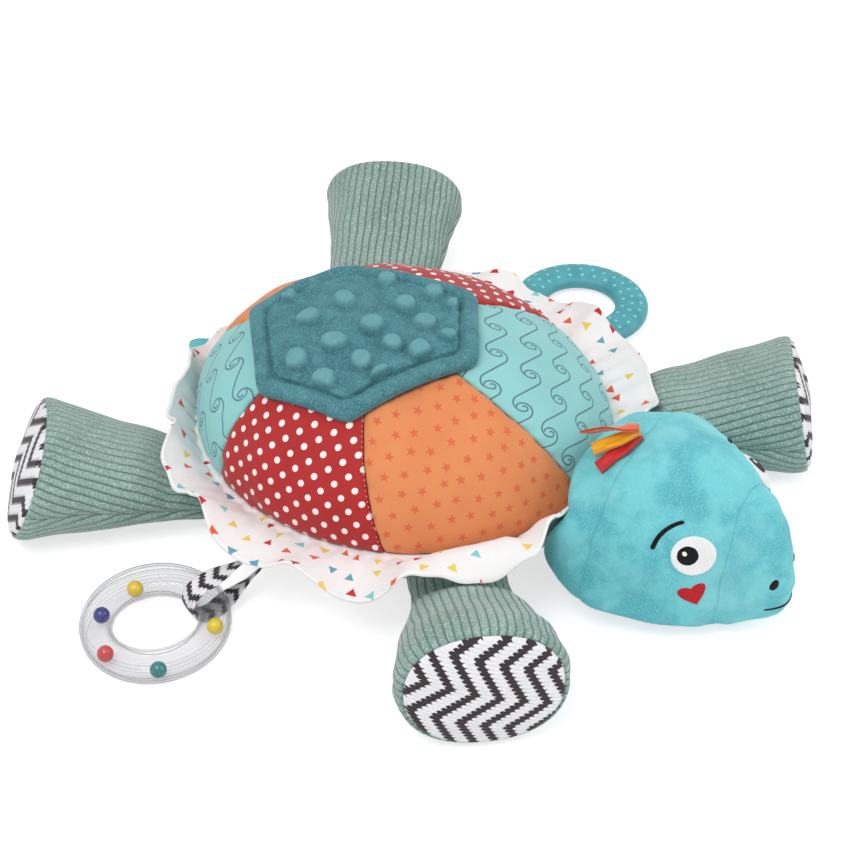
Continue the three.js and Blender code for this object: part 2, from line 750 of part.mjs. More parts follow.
function isInsideHead(point) {
  const share = (headMiddle - point.y) / headHalfLength;
  if (Math.abs(share) >= 1) {
    return false;
  }
  const sizes = headSizes(share, 0);
  const above = point.z - sizes.waist;
  return Math.hypot(point.x / sizes.halfWidth, above / (above > 0 ? sizes.crown : sizes.chin)) < 1;
}

function onHead(target, out) {
  const way = target.clone().sub(headCore).normalize();
  let low = 0;
  let high = headHalfLength + headCrown;
  for (let step = 0; step < 40; step += 1) {
    const middle = (low + high) / 2;
    if (isInsideHead(headCore.clone().addScaledVector(way, middle))) {
      low = middle;
    } else {
      high = middle;
    }
  }
  return headCore.clone().addScaledVector(way, low + out);
}

// The flat frame that touches the head near a target: forward along the head and up its side
function faceFrame(target) {
  const centre = onHead(target, 0);
  const step = clothThickness;
  const ahead = onHead(centre.clone().add(new THREE.Vector3(0, -step, 0)), 0).sub(centre);
  const above = onHead(centre.clone().add(new THREE.Vector3(0, 0, step)), 0).sub(centre);
  const normal = new THREE.Vector3().crossVectors(ahead, above).normalize();
  const up = new THREE.Vector3(0, 0, 1).addScaledVector(normal, -normal.z).normalize();
  const forward = new THREE.Vector3(0, -1, 0).addScaledVector(normal, normal.y);
  forward.addScaledVector(up, up.y).normalize();
  return { centre, forward, up };
}

function onFrame(frame, forward, up, out) {
  const target = frame.centre.clone().addScaledVector(frame.forward, forward);
  return turnHead(onHead(target.addScaledVector(frame.up, up), out));
}

// A stitched patch: outline(turnShare) gives its edge as [forward, up] from the frame's centre
function facePatch(frame, sides, rings, out, outline) {
  return padSolid(sides, rings, (turnShare, share, side) => {
    const [forward, up] = outline(turnShare);
    return onFrame(frame, forward * share, up * share, out + (side ? 0 : patchThickness));
  });
}

const circleOf = (radius) => (turnShare) =>
  [radius * Math.cos(turnShare * turnFull), radius * Math.sin(turnShare * turnFull)];

// A stitched line of a given width along path(share) on the frame
function faceLine(frame, steps, width, path) {
  return sheetSolid(steps, 1, (u, v, side) => {
    const [forward, up] = path(u, (v - 0.5) * width);
    return onFrame(frame, forward, up, restGap + (side ? 0 : patchThickness));
  });
}

function heartOutline(turnShare) {
  const turn = turnShare * turnFull;
  const half = heartSize / 2;
  const wide = roundPower(Math.sin(turn), 3);
  const lobes = heartLobeShare * Math.cos(turn) - heartDipShare * Math.cos(2 * turn);
  const tall = lobes - heartPointShare * Math.cos(3 * turn);
  return [half * wide, half * tall];
}

// Where a piece of the face sits on the right, or its mirror on the left; the face leans to the right
function faceSpot(end, side, along, height) {
  const spot = new THREE.Vector3(side, along, height);
  if (end === 'left') {
    spot.sub(headCore).applyAxisAngle(new THREE.Vector3(0, -1, 0), faceLeanShare * turnHalf).add(headCore);
    return spot;
  }
  spot.x = -side;
  return spot;
}

for (const end of ['left', 'right']) {
  const eye = faceFrame(faceSpot(end, eyeSide, eyeAt, eyeHeight));
  const ink = () => cloth(0x1d1c1e);
  addPiece(`eye_white_${end}`, facePatch(eye, patchSides, 2, restGap, circleOf(eyeRadius)), cloth(0xf6f6f6));
  const pupilOut = restGap * 2 + patchThickness;
  const pupil = facePatch(eye, patchSides, 1, pupilOut, (share) => {
    const [forward, up] = circleOf(pupilRadius)(share);
    return [forward - pupilBackShift, up];
  });
  addPiece(`pupil_${end}`, pupil, ink());
  const brow = faceLine(eye, 6, browWidth, (share, wide) => {
    const turn = mix(browFromShare, browToShare, share) * turnHalf;
    return [(browRadius + wide) * Math.cos(turn), (browRadius + wide) * Math.sin(turn)];
  });
  addPiece(`eyebrow_${end}`, brow, ink());
  const cheek = faceFrame(faceSpot(end, heartSide, heartAt, heartHeight));
  addPiece(`cheek_heart_${end}`, facePatch(cheek, patchSides, 1, restGap, heartOutline), cloth(0xc01822));
  const nose = faceFrame(faceSpot(end, nostrilSide, nostrilAt, nostrilHeight));
  const nostril = facePatch(nose, 8, 1, restGap, (share) => {
    const [a, b] = circleOf(1)(share);
    return [(b * nostrilLength) / 2, (a * nostrilWidth) / 2];
  });
  addPiece(`nostril_${end}`, nostril, ink());
}

// Smile: one stitched line under the nostrils, its ends turned up
const smile = sheetSolid(patchSides, 1, (u, v, side) => {
  const across = mix(-1, 1, u);
  const height = smileHeight - smileSag * (1 - across * across) + (v - 0.5) * smileWidth;
  const target = new THREE.Vector3(across * smileHalfLength, nostrilAt, height);
  return turnHead(onHead(target, restGap + (side ? 0 : patchThickness)));
});
addPiece('smile', smile, cloth(0x1d1c1e));

// Ribbons: three short tapes stacked in the crown seam, fanned back over the head; the first lies lowest
const ribbons = [
  { name: 'red', color: 0xd02420, sideShare: -0.8, liftShare: 0 },
  { name: 'yellow', color: 0xf2a515, sideShare: -0.6, liftShare: 0.1 },
  { name: 'orange', color: 0xee5a24, sideShare: -0.42, liftShare: 0.25 },
];

function ribbonForm(ribbon, rank) {
  const start = new THREE.Vector3(ribbonRootSide, crownSeamAt, headWaistHeight + headCrown);
  const aim = new THREE.Vector3(ribbon.sideShare, Math.sqrt(1 - ribbon.sideShare ** 2), 0);
  const across = new THREE.Vector3(-aim.y, aim.x, 0);
  return sheetSolid(2, 4, (u, v, side) => {
    const target = start.clone().addScaledVector(aim, v * ribbonLength);
    target.addScaledVector(across, (u - 0.5) * ribbonWidth);
    const bed = restGap + rank * (2 * ribbonThickness + seamGap) + ribbon.liftShare * ribbonLength * v;
    return turnHead(onHead(target, bed + (side ? 0 : 2 * ribbonThickness)));
  });
}

ribbons.forEach((ribbon, rank) => {
  addPiece(`ribbon_${ribbon.name}`, ribbonForm(ribbon, rank), cloth(ribbon.color, 0.5));
});

// A webbing loop in the upright plane from its root to the ring: round the ring's band and back
function webbingLoop({ root, centre, nearHeight }, ringRadius, bandHalfWidth, bandHalfHeight) {
  const way = centre.clone().sub(root).setZ(0);
  const reach = way.length() - ringRadius;
  way.normalize();
  const across = new THREE.Vector3(-way.y, way.x, 0);
  const wide = bandHalfWidth + webbingGap + webbingThickness / 2;
  const tall = bandHalfHeight + webbingGap + webbingThickness / 2;
  const rootLift = ((root.z - nearHeight) * wide) / tall;
  const start = Math.atan2(rootLift, -reach);
  const spread = Math.acos(wide / Math.hypot(rootLift, reach));
  const path = [[0, webbingThickness]];
  for (let step = 0; step <= arcSteps; step += 1) {
    const turn = mix(start - spread, start + spread - turnFull, step / arcSteps);
    path.push([reach + wide * Math.cos(turn), nearHeight - root.z + tall * Math.sin(turn)]);
  }
  path.push([0, -webbingThickness]);
  return sheetSolid(path.length - 1, 1, (u, v, side) => {
    const index = Math.round(u * (path.length - 1));
    const [before, after] = [path[Math.max(0, index - 1)], path[Math.min(path.length - 1, index + 1)]];
    const run = Math.hypot(after[0] - before[0], after[1] - before[1]);
    const out = (side ? -0.5 : 0.5) * webbingThickness;
    const along = path[index][0] - ((after[1] - before[1]) / run) * out;
    const height = path[index][1] + ((after[0] - before[0]) / run) * out;
    const point = root.clone().addScaledVector(way, along).addScaledVector(across, (v - 0.5) * webbingWidth);
    return point.setZ(root.z + height);
  });
}

// A ring's pose: it lies on the floor at its far side and on the webbing at its near side
function ringPose(farReach, turnShare, rootShare, ringRadius, tubeRadius) {
  const turn = turnShare * turnFull;
  const nearHeight = floorGap + webbingThickness + webbingGap + tubeRadius;
  const farHeight = floorGap + tubeRadius;
  const height = (nearHeight + farHeight) / 2;
  const centre = new THREE.Vector3(farReach * Math.cos(turn), farReach * Math.sin(turn), height);
  const rootTurn = rootShare * turnFull;
  const root = rimPoint(rootTurn, webbingRootHeight);
  root.x -= webbingBury * Math.cos(rootTurn);
  root.y -= webbingBury * Math.sin(rootTurn);
  const toRoot = root.clone().sub(centre).setZ(0).normalize();
  const axis = new THREE.Vector3(-toRoot.y, toRoot.x, 0);
  const tilt = -Math.asin((nearHeight - farHeight) / (2 * ringRadius));
  return { centre, root, axis, tilt, nearHeight };
}

const poseOf = (pose) => (around, ringRadius, out, height) => {
  const radius = ringRadius + out;
  const point = new THREE.Vector3(radius * Math.cos(around), radius * Math.sin(around), height);
  return point.applyAxisAngle(pose.axis, pose.tilt).add(pose.centre);
};

// Rattle ring: two clear half shells joined at mid height, with beads in the channel
const rattle = ringPose(
  shellHalfWidth + rattleRingReach,
  rattleRingTurnShare,
  rattleRootShare,
  rattleRingRadius,
  rattleTubeRadius,
);
const rattleAt = poseOf(rattle);

function rattleHalf(sign) {
  return loftLoop(Array.from({ length: ringSides }, (_, step) => {
    const around = (step / ringSides) * turnFull;
    const wall = (radius) => Array.from({ length: tubeSteps + 1 }, (_, part) => {
      const bend = (part / tubeSteps) * turnHalf;
      const height = sign * (radius * Math.sin(bend) + seamGap / 2);
      return rattleAt(around, rattleRingRadius, radius * Math.cos(bend), height);
    });
    return [...wall(rattleTubeRadius - seamGap / 2), ...wall(rattleTubeRadius - rattleWall).reverse()];
  }));
}

addPiece('rattle_ring_upper', rattleHalf(1), clearPlastic());
addPiece('rattle_ring_lower', rattleHalf(-1), clearPlastic());

const beads = [
  { name: 'yellow_left', color: 0xf0c419, atShare: 0.156 },
  { name: 'blue', color: 0x24408f, atShare: 0.286 },
  { name: 'red', color: 0xe2504a, atShare: 0.436 },
  { name: 'teal', color: 0x1e8f97, atShare: 0.603 },
  { name: 'yellow_right', color: 0xf0c419, atShare: 0.828 },
  { name: 'green', color: 0x2c9c86, atShare: 0.986 },
];
for (const bead of beads) {
  const sink = rattleTubeRadius - rattleWall - beadRadius - seamGap;
  const centre = rattleAt(bead.atShare * turnFull, rattleRingRadius, 0, -sink);
  const ball = mergeBare(new THREE.SphereGeometry(beadRadius, beadSides, beadSides - 2));
  ball.translate(centre.x, centre.y, centre.z);
  addPiece(`rattle_bead_${bead.name}`, ball, glossPlastic(bead.color));
}

function mergeBare(geometry) {
  geometry.deleteAttribute('normal');
  geometry.deleteAttribute('uv');
  return mergeVertices(geometry);
}

// Teething ring: one soft flattened band
const teether = ringPose(
  shellHalfWidth + teetherRingReach,
  teetherRingTurnShare,
  teetherRootShare,
  teetherRingRadius,
  teetherHalfHeight,
);
const teetherAt = poseOf(teether);
const teetherRing = loftLoop(Array.from({ length: ringSides }, (_, step) =>
  Array.from({ length: bandSides }, (_, side) => {
    const turn = (side / bandSides) * turnFull;
    const out = teetherHalfBand * roundPower(Math.cos(turn), teetherSquarePower);
    const height = teetherHalfHeight * roundPower(Math.sin(turn), teetherSquarePower);
    return teetherAt((step / ringSides) * turnFull, teetherRingRadius, out, height);
  })));
addPiece('teething_ring', teetherRing, cloth(0x3ca5af, 0.45));

const rattleLoop = webbingLoop(rattle, rattleRingRadius, rattleTubeRadius, rattleTubeRadius);
const teetherLoop = webbingLoop(teether, teetherRingRadius, teetherHalfBand, teetherHalfHeight);
addPiece('rattle_webbing_loop', cutBy(rattleLoop, bodyCutter), cloth(0x8c8a8c));
addPiece('teether_webbing_loop', cutBy(teetherLoop, bodyCutter), cloth(0x8c8a8c));

export default turtle;
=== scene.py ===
# Plush activity turtle: padded patchwork shell, lift-up flap, corduroy flippers, soft head,
# gathered frill, clear rattle ring and soft teething ring. Metres, +Z up, head along -Y.
import math

import bmesh
import bpy
import numpy as np
from mathutils import Matrix, Vector


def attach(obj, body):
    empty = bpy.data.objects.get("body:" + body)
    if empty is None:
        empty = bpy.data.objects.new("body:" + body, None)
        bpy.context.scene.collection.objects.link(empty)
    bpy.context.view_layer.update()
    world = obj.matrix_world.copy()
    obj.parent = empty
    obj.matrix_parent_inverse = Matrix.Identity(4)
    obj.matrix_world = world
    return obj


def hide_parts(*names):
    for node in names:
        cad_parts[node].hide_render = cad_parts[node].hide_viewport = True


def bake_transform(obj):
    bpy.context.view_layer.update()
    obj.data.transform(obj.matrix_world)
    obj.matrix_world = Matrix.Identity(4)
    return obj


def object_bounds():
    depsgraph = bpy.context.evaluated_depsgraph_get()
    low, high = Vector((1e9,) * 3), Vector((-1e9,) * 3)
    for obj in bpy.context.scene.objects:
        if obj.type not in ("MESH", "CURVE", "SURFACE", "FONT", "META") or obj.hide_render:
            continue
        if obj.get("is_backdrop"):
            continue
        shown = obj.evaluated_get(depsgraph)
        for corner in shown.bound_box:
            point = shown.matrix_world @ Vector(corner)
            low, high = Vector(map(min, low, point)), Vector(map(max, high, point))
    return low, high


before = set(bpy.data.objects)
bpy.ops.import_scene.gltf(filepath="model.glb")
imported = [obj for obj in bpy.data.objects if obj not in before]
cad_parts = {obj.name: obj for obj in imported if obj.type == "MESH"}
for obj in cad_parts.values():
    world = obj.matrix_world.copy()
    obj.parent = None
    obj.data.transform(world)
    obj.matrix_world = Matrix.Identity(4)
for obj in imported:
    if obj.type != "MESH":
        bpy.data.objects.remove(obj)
cad_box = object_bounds()

# ------------------------------------------------------------------------------
# Studio: a white table top under soft light, seen from the turtle's front right.
# The camera stands where the photograph was taken from; the table goes white, its shadows stay.
MM, FULL = 0.001, 2 * math.pi
PHOTO_SIZE = 850
camera_turn, camera_rise, camera_angle = (math.radians(a) for a in (-60, 40, 21))
aim, aim_right, aim_up = Vector((0, 0, 45 * MM)), -9.95 * MM, 10.95 * MM
back = Vector((
    math.sin(camera_turn) * math.cos(camera_rise),
    -math.cos(camera_turn) * math.cos(camera_rise),
    math.sin(camera_rise),
))
right = (-back).cross(Vector((0, 0, 1))).normalized()
above = right.cross(-back)


def placed(name, data):
    thing = bpy.data.objects.new(name, data)
    bpy.context.scene.collection.objects.link(thing)
    return thing


lens = bpy.data.cameras.new("studio_camera")
lens.angle, lens.clip_start, lens.clip_end = camera_angle, 0.05, 50
eye = placed("studio_camera", lens)
eye.location = aim + back * (1207 * MM) - right * aim_right - above * aim_up
eye.rotation_euler = (-back).to_track_quat("-Z", "Y").to_euler()
bpy.context.scene.camera = eye
bpy.context.scene.view_settings.view_transform = "Standard"


class Shade:
    """A socket of a node tree; sums and products of it add Math nodes."""

    def __init__(self, finish, socket):
        self.finish, self.socket = finish, socket

    def __rsub__(self, number):
        return self.finish.math("SUBTRACT", number, self)

    def fade(self, low, high, start=0.0, end=1.0):
        """Runs smoothly from start to end while the value goes from low to high."""
        ramp = {"interpolation_type": "SMOOTHSTEP"}
        sockets = {"Value": self, "From Min": low, "From Max": high, "To Min": start, "To Max": end}
        return self.finish.node("ShaderNodeMapRange", ramp, sockets)


def shade_maths(operation):
    return lambda *values: values[0].finish.math(operation, *values)


for name, operation in {
    "__add__": "ADD", "__radd__": "ADD", "__sub__": "SUBTRACT", "__mul__": "MULTIPLY", "__rmul__": "MULTIPLY",
    "__truediv__": "DIVIDE", "__abs__": "ABSOLUTE", "__lt__": "LESS_THAN", "__gt__": "GREATER_THAN",
    "fract": "FRACT", "floor": "FLOOR", "sin": "SINE", "cos": "COSINE", "root": "SQRT", "most": "MAXIMUM",
    "wrap": "WRAP", "angle": "ARCTAN2",
}.items():
    setattr(Shade, name, shade_maths(operation))


def dye(red, green, blue):
    """A colour as a screen shows it, 0 to 255, for a shader."""
    linear = [c / 255 / 12.92 if c <= 10 else ((c / 255 + 0.055) / 1.055) ** 2.4 for c in (red, green, blue)]
    return (*linear, 1.0)


class Finish:
    """The nodes of a material or a world. node() adds one: its settings first, then the values or
    links of its sockets. Colours are given as a screen shows them, in threes."""

    def __init__(self, name, owners="materials", shader="Principled BSDF", **fixed):
        self.owner = getattr(bpy.data, owners).new(name)
        self.owner.use_nodes = True
        self.tree = self.owner.node_tree
        self.shader = self.tree.nodes[shader]
        self.set(**fixed)

    def link(self, socket, value):
        if isinstance(value, Shade):
            self.tree.links.new(value.socket, socket)
        else:
            socket.default_value = dye(*value) if isinstance(value, tuple) else value

    def node(self, kind, settings, sockets, output=0):
        node = self.tree.nodes.new(kind)
        for name, value in settings.items():
            setattr(node, name, value)
        for name, value in sockets.items():
            self.link(node.inputs[name], value)
        return Shade(self, node.outputs[output])

    def math(self, operation, *values):
        return self.node("ShaderNodeMath", {"operation": operation}, dict(enumerate(values)))

    def set(self, **sockets):
        for name, value in sockets.items():
            self.link(self.shader.inputs[name.replace("_", " ")], value)
        return self

    def blend(self, factor, first, second):
        mixed = {"data_type": "RGBA", "clamp_factor": True}
        return self.node("ShaderNodeMix", mixed, {0: factor, 6: first, 7: second}, 2)

    def tint(self, factor, first, second):
        return self.set(Base_Color=self.blend(factor, first, second))

    def parts(self, vector):
        split = self.node("ShaderNodeSeparateXYZ", {}, {0: vector}).socket.node
        return [Shade(self, socket) for socket in split.outputs]

    def place(self):
        return self.node("ShaderNodeTexCoord", {}, {}, "Object")

    def cut(self):
        """The parts of the flat place on the cloth's own cut, in millimetres."""
        return self.parts(self.node("ShaderNodeAttribute", {"attribute_name": "cut"}, {}, "Vector"))

    def join(self, x, y, z=0.0):
        return self.node("ShaderNodeCombineXYZ", {}, {0: x, 1: y, 2: z})

    def chance(self, x, y, z=0.0):
        sockets = {"Vector": self.join(x, y, z)}
        return self.node("ShaderNodeTexWhiteNoise", {"noise_dimensions": "3D"}, sockets, "Value")

    def grain(self, scale, detail=2.0, roughness=0.5, vector=None):
        sockets = {"Vector": vector or self.place(), "Scale": scale, "Detail": detail, "Roughness": roughness}
        return self.node("ShaderNodeTexNoise", {}, sockets)

    def bump(self, height, distance):
        sockets = {"Height": height, "Distance": distance, "Strength": 1.0}
        return self.set(Normal=self.node("ShaderNodeBump", {}, sockets))


RAYS_SEEN = "Camera", "Glossy", "Transmission"


def rays(finish):
    """1 for what the camera sees straight on, in a mirror or through glass."""
    path = finish.node("ShaderNodeLightPath", {}, {}).socket.node.outputs
    camera, glossy, through = (Shade(finish, path[f"Is {ray} Ray"]) for ray in RAYS_SEEN)
    return camera.most(glossy).most(through)


table_top = Finish("table_top", Roughness=0.9, Emission_Strength=0.66)
table_top.tint(rays(table_top), (250, 250, 250), (194, 194, 195))
table_top.set(Emission_Color=table_top.blend(rays(table_top), (0, 0, 0), (255, 255, 255)))
table_mesh = bpy.data.meshes.new("table_top")
table_mesh.from_pydata([(-3, -3, 0), (3, -3, 0), (3, 3, 0), (-3, 3, 0)], [], [(0, 1, 2, 3)])
table_mesh.materials.append(table_top.owner)
placed("table_top", table_mesh)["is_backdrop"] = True

room = Finish("studio_room", "worlds", "Background", Color=(255, 255, 255), Strength=0.6)
bpy.context.scene.world = room.owner
seen = room.node("ShaderNodeBackground", {}, {"Color": (255, 255, 255)})
either = {0: rays(room), 1: Shade(room, room.shader.outputs[0]), 2: seen}
room.link(room.tree.nodes["World Output"].inputs[0], room.node("ShaderNodeMixShader", {}, either))
lamps = ("key_lamp", (-0.9, 0.1, 1.7), 1.0, 16), ("fill_lamp", (0.6, -1.6, 1.2), 1.4, 10)
for name, place, size, power in lamps:
    light = bpy.data.lights.new(name, "AREA")
    light.shape, light.size, light.energy = "DISK", size, power
    lamp = placed(name, light)
    lamp.location = place
    lamp.rotation_euler = (-Vector(place)).to_track_quat("-Z", "Y").to_euler()

# ------------------------------------------------------------------------------
# Body: a ball of fibre fill in a pale belly panel, whose edge is sewn into the rim seam.
# The belly is one piece of woven cotton with a flat foot; the fill stays the CAD's own form.
CLOTH, SEAM_GAP, REST_GAP, FRILL_HALF = 1.4, 0.4, 0.8, 0.8
SHELL_WIDE, SHELL_LONG, SHELL_RISE, RIM = 105, 112, 70, 34
LEAN_SIDE, LEAN_BACK = -9, 7
FOOT_WIDE, FOOT_LONG, BELLY_TOP = 66, 72, RIM - FRILL_HALF - SEAM_GAP


def mix(a, b, share):
    return a + (b - a) * share


def joined(*parts):
    """Points from their parts, each spread to the shape of all."""
    return np.stack(np.broadcast_arrays(*parts), -1)


def ring_turns(sides):
    return np.linspace(0, FULL, sides, endpoint=False)


def solid(name, points, faces, body, replaced, material, cut=None, slot=None, fill=None):
    """A closed piece from points in millimetres. cut gives each point's place on the flat cloth, or
    on one of its two layers. Without a body it is left unattached."""
    mesh = bpy.data.meshes.new(name)
    mesh.from_pydata((np.asarray(points, float).reshape(-1, 3) * MM).tolist(), [], faces)
    if cut is not None:
        flat = np.zeros((len(mesh.vertices), 3), np.float32)
        flat[:, : np.shape(cut)[-1]] = np.asarray(cut, float).reshape(-1, np.shape(cut)[-1])
        mesh.attributes.new("cut", "FLOAT_VECTOR", "POINT").data.foreach_set("vector", flat.ravel())
    shape = bmesh.new()
    shape.from_mesh(mesh)
    bmesh.ops.remove_doubles(shape, verts=shape.verts, dist=1e-7)
    bmesh.ops.recalc_face_normals(shape, faces=shape.faces)
    shape.to_mesh(mesh)
    shape.free()
    mesh.shade_smooth()
    mesh.materials.append(material.owner)
    piece = placed(name, mesh)
    if replaced:
        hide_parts(*replaced)
    if body:
        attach(piece, body)
    return piece


def wrapped(rows, sides, start=0, closed=True, ring=False):
    """Quads over rows of sides points, numbered from start; closed joins the last side to the first
    and ring the last row."""
    return [
        (start + r * sides + s, start + r * sides + (s + 1) % sides,
         start + (r + 1) % rows * sides + (s + 1) % sides, start + (r + 1) % rows * sides + s)
        for r in range(rows if ring else rows - 1) for s in range(sides if closed else sides - 1)
    ]


def two_sided(outer, inner, closed=False, last_edge=True):
    """Points and faces of a cloth from its outer and inner grids, with the edges closed.
    last_edge is off where the last row meets in one point."""
    rows, sides = outer.shape[:2]
    inside = rows * sides
    faces = wrapped(rows, sides, 0, closed) + [face[::-1] for face in wrapped(rows, sides, inside, closed)]
    seams = [((0, s), (0, s + 1), 1) for s in range(sides - 1 + closed)]
    if last_edge:
        seams += [((rows - 1, s), (rows - 1, s + 1), -1) for s in range(sides - 1 + closed)]
    if not closed:
        seams += [((r, s), (r + 1, s), way) for r in range(rows - 1) for s, way in ((0, -1), (sides - 1, 1))]
    for (row_a, side_a), (row_b, side_b), way in seams:
        a, b = row_a * sides + side_a, row_b * sides + side_b % sides
        faces.append((a, a + inside, b + inside, b)[::way])
    return np.concatenate([outer.reshape(-1, 3), inner.reshape(-1, 3)]), faces


def belly_wall(depth):
    """Rows from the rim down to the foot, which closes the belly underneath."""
    bend, turn = np.linspace(0, 1, 26)[:, None] * math.pi / 2, ring_turns(168)
    side = joined(
        (mix(FOOT_WIDE, SHELL_WIDE, np.cos(bend)) - depth) * np.cos(turn),
        (mix(FOOT_LONG, SHELL_LONG, np.cos(bend)) - depth) * np.sin(turn),
        mix(BELLY_TOP, depth, np.sin(bend)),
    )
    return np.concatenate([side, *(side[-1:] * np.array([share, share, 1]) for share in (0.75, 0.5, 0.25, 0))])


belly_cloth = Finish("belly_cloth", Roughness=0.85)
belly_cloth.tint(belly_cloth.grain(60).fade(0.3, 0.7), (225.3, 223.4, 217.6), (236, 234, 228))
x, y, _ = belly_cloth.parts(belly_cloth.place())
thread_turn = math.pi / 0.55 / MM
belly_cloth.bump((x * thread_turn).sin() * (y * thread_turn).sin(), 0.00012)
belly = two_sided(belly_wall(0), belly_wall(CLOTH), closed=True, last_edge=False)
solid("belly_panel_cloth", *belly, "body", ["belly_panel"], belly_cloth, slot="belly_cloth", fill=0.9)

fibre = Finish("fibre_fill", Roughness=1.0, Sheen_Weight=0.3)
tufts = fibre.grain(220, 5.0, 0.7)
fibre.tint(tufts, (222, 221, 216), (248, 248, 246)).bump(tufts, 0.0015)
for node in [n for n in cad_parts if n.endswith("_stuffing")]:
    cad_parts[node].data.materials[0] = fibre.owner

# ------------------------------------------------------------------------------
# Shell: six padded patches of printed cotton round a dark centre hexagon. Each patch is sewn to
# its neighbours and to the rim seam, so it crowns between its seams and puckers along them.
HEX_AT, HEX_RADIUS = np.array([-0.10, 0.08]), 0.5
RIM_START = math.asin((FRILL_HALF + SEAM_GAP) / SHELL_RISE)
PATCH_LOFT = 2.4


def smooth(share):
    share = np.clip(share, 0, 1)
    return share * share * (3 - 2 * share)


def unit(way):
    return way / np.linalg.norm(way, axis=-1, keepdims=True)


def way_at(turn):
    return joined(np.cos(turn), np.sin(turn))


def shell_at(side, long, depth):
    up = np.sqrt(np.maximum(0, 1 - side**2 - long**2))
    return joined(
        (SHELL_WIDE - depth) * side + LEAN_SIDE * up,
        (SHELL_LONG - depth) * long + LEAN_BACK * up,
        RIM + (SHELL_RISE - depth) * up,
    )


def corner_turn(seam):
    return -math.pi / 2 + seam * FULL / 6


def seam_turn(seam):
    """Where the seam through a corner of the hexagon meets the rim."""
    way = way_at(corner_turn(seam))
    along = HEX_AT @ way
    side, long = HEX_AT + (math.sqrt(1 - (HEX_AT @ HEX_AT - along**2)) - along) * way
    turn = math.atan2(long, side)
    return turn + FULL * round((corner_turn(seam) - turn) / FULL)


def soft_waves(points, pitch, seed):
    """Smooth unevenness of stuffed cloth, from -1 to 1, with waves of about a pitch in millimetres."""
    ways = unit(np.random.default_rng(seed).normal(size=(7, 3)))
    phases = np.random.default_rng(seed + 1).uniform(0, FULL, 7)
    lengths = np.random.default_rng(seed + 2).uniform(0.7, 1.5, 7) * pitch
    return np.sin(points @ (ways / lengths[:, None]).T * FULL + phases).sum(-1) / 3.2


def tucked(to_seam):
    return 1.7 * np.exp(-to_seam / 1.6) + 0.8 * np.exp(-to_seam / 9)


def hexagon_at(corner, along):
    """From one corner of the unit hexagon along its edge to the next."""
    return mix(way_at(corner_turn(corner)), way_at(corner_turn(corner + 1)), along[..., None])


def patch_grid(panel, across, up, depth):
    """Points of a patch: across runs from seam to seam, up from the rim to the hexagon."""
    seam_a, seam_b = seam_turn(panel), seam_turn(panel + 1)
    side, long = np.moveaxis(HEX_RADIUS * hexagon_at(panel, across) + HEX_AT, -1, 0)
    cosine, sine = math.cos(seam_a), math.sin(seam_a)
    hex_turn = seam_a + np.arctan2(long * cosine - side * sine, side * cosine + long * sine)
    rise = mix(RIM_START, np.arccos(np.hypot(side, long)) - SEAM_GAP / SHELL_WIDE, up)
    inward = SEAM_GAP / 2 / (SHELL_WIDE * np.cos(rise))
    turn = mix(mix(seam_a, seam_b, across), hex_turn, up) + inward * (1 - 2 * across)
    return shell_at(np.cos(rise) * np.cos(turn), np.cos(rise) * np.sin(turn), depth)


def flat_cut(points, along, turned=False):
    """Where each point lay on the flat cloth, in millimetres, along being the rim's way."""
    middle, along = points.reshape(-1, 3).mean(0), unit(along)
    up = np.cross(unit(middle - np.array([0, 0, 20.0])), along)
    off = points - middle
    flat = joined(off @ along, off @ up)
    flat *= 1 + (np.linalg.norm(flat, axis=-1, keepdims=True) / 95) ** 2 / 6
    return joined(-flat[..., 1], flat[..., 0]) if turned else flat


def printed(name, drawing, ground, patches=50, thread=0.5, crumple=90, roughness=0.8, sheen=0.15):
    """Unevenly dyed cotton with a drawing, which gives the ink's share at a place and its colour."""
    cotton = Finish(name, Roughness=roughness, Sheen_Weight=sheen)
    x, y, _ = cotton.cut()
    share, ink = drawing(cotton, x, y)
    cotton.tint(share, cotton.blend(cotton.grain(patches), *ground), ink)
    threads = (x * (math.pi / thread)).sin() * (y * (math.pi / thread)).sin() * 0.06
    return cotton.bump(threads + cotton.grain(crumple, 3.0) * 1.2, 0.0006)


def span(x, y):
    return (x * x + y * y).root()


def dots(_, x, y):
    """White dots in a staggered square."""
    pitch, radius = 7.95 * math.sqrt(2), 1.68
    away = span(((x + y) / pitch).fract() - 0.5, ((x - y) / pitch).fract() - 0.5) * (pitch / math.sqrt(2))
    return away.fade(radius - 0.15, radius + 0.15, 1.0, 0.0), (240, 234, 230)


def stars(cotton, x, y):
    """Darker five-point stars, each turned and shifted a little."""
    pitch, tip, notch, shift = 10.6, 2.75, 1.2, 2.6
    tall = pitch * 0.87
    row = (y / tall).floor()
    x = x / pitch + row * 0.5
    luck, more = cotton.chance(x.floor(), row, 3.0), cotton.chance(row, x.floor(), 11.0)
    off_x = (x.fract() - 0.5) * pitch + (luck - 0.5) * shift
    off_y = ((y / tall).fract() - 0.5) * tall + (more - 0.5) * shift
    point = FULL / 5
    bend = abs(((off_y.angle(off_x) + luck * FULL) / point).fract() - 0.5) * point
    step_x, step_y = notch * math.sin(point / 2), tip - notch * math.cos(point / 2)
    length = math.hypot(step_x, step_y)
    edge = span(off_x, off_y) * (bend.cos() * (step_x / length) + bend.sin() * (step_y / length))
    return (edge - tip * step_x / length).fade(-0.15, 0.15, 1.0, 0.0), (216, 102, 64)


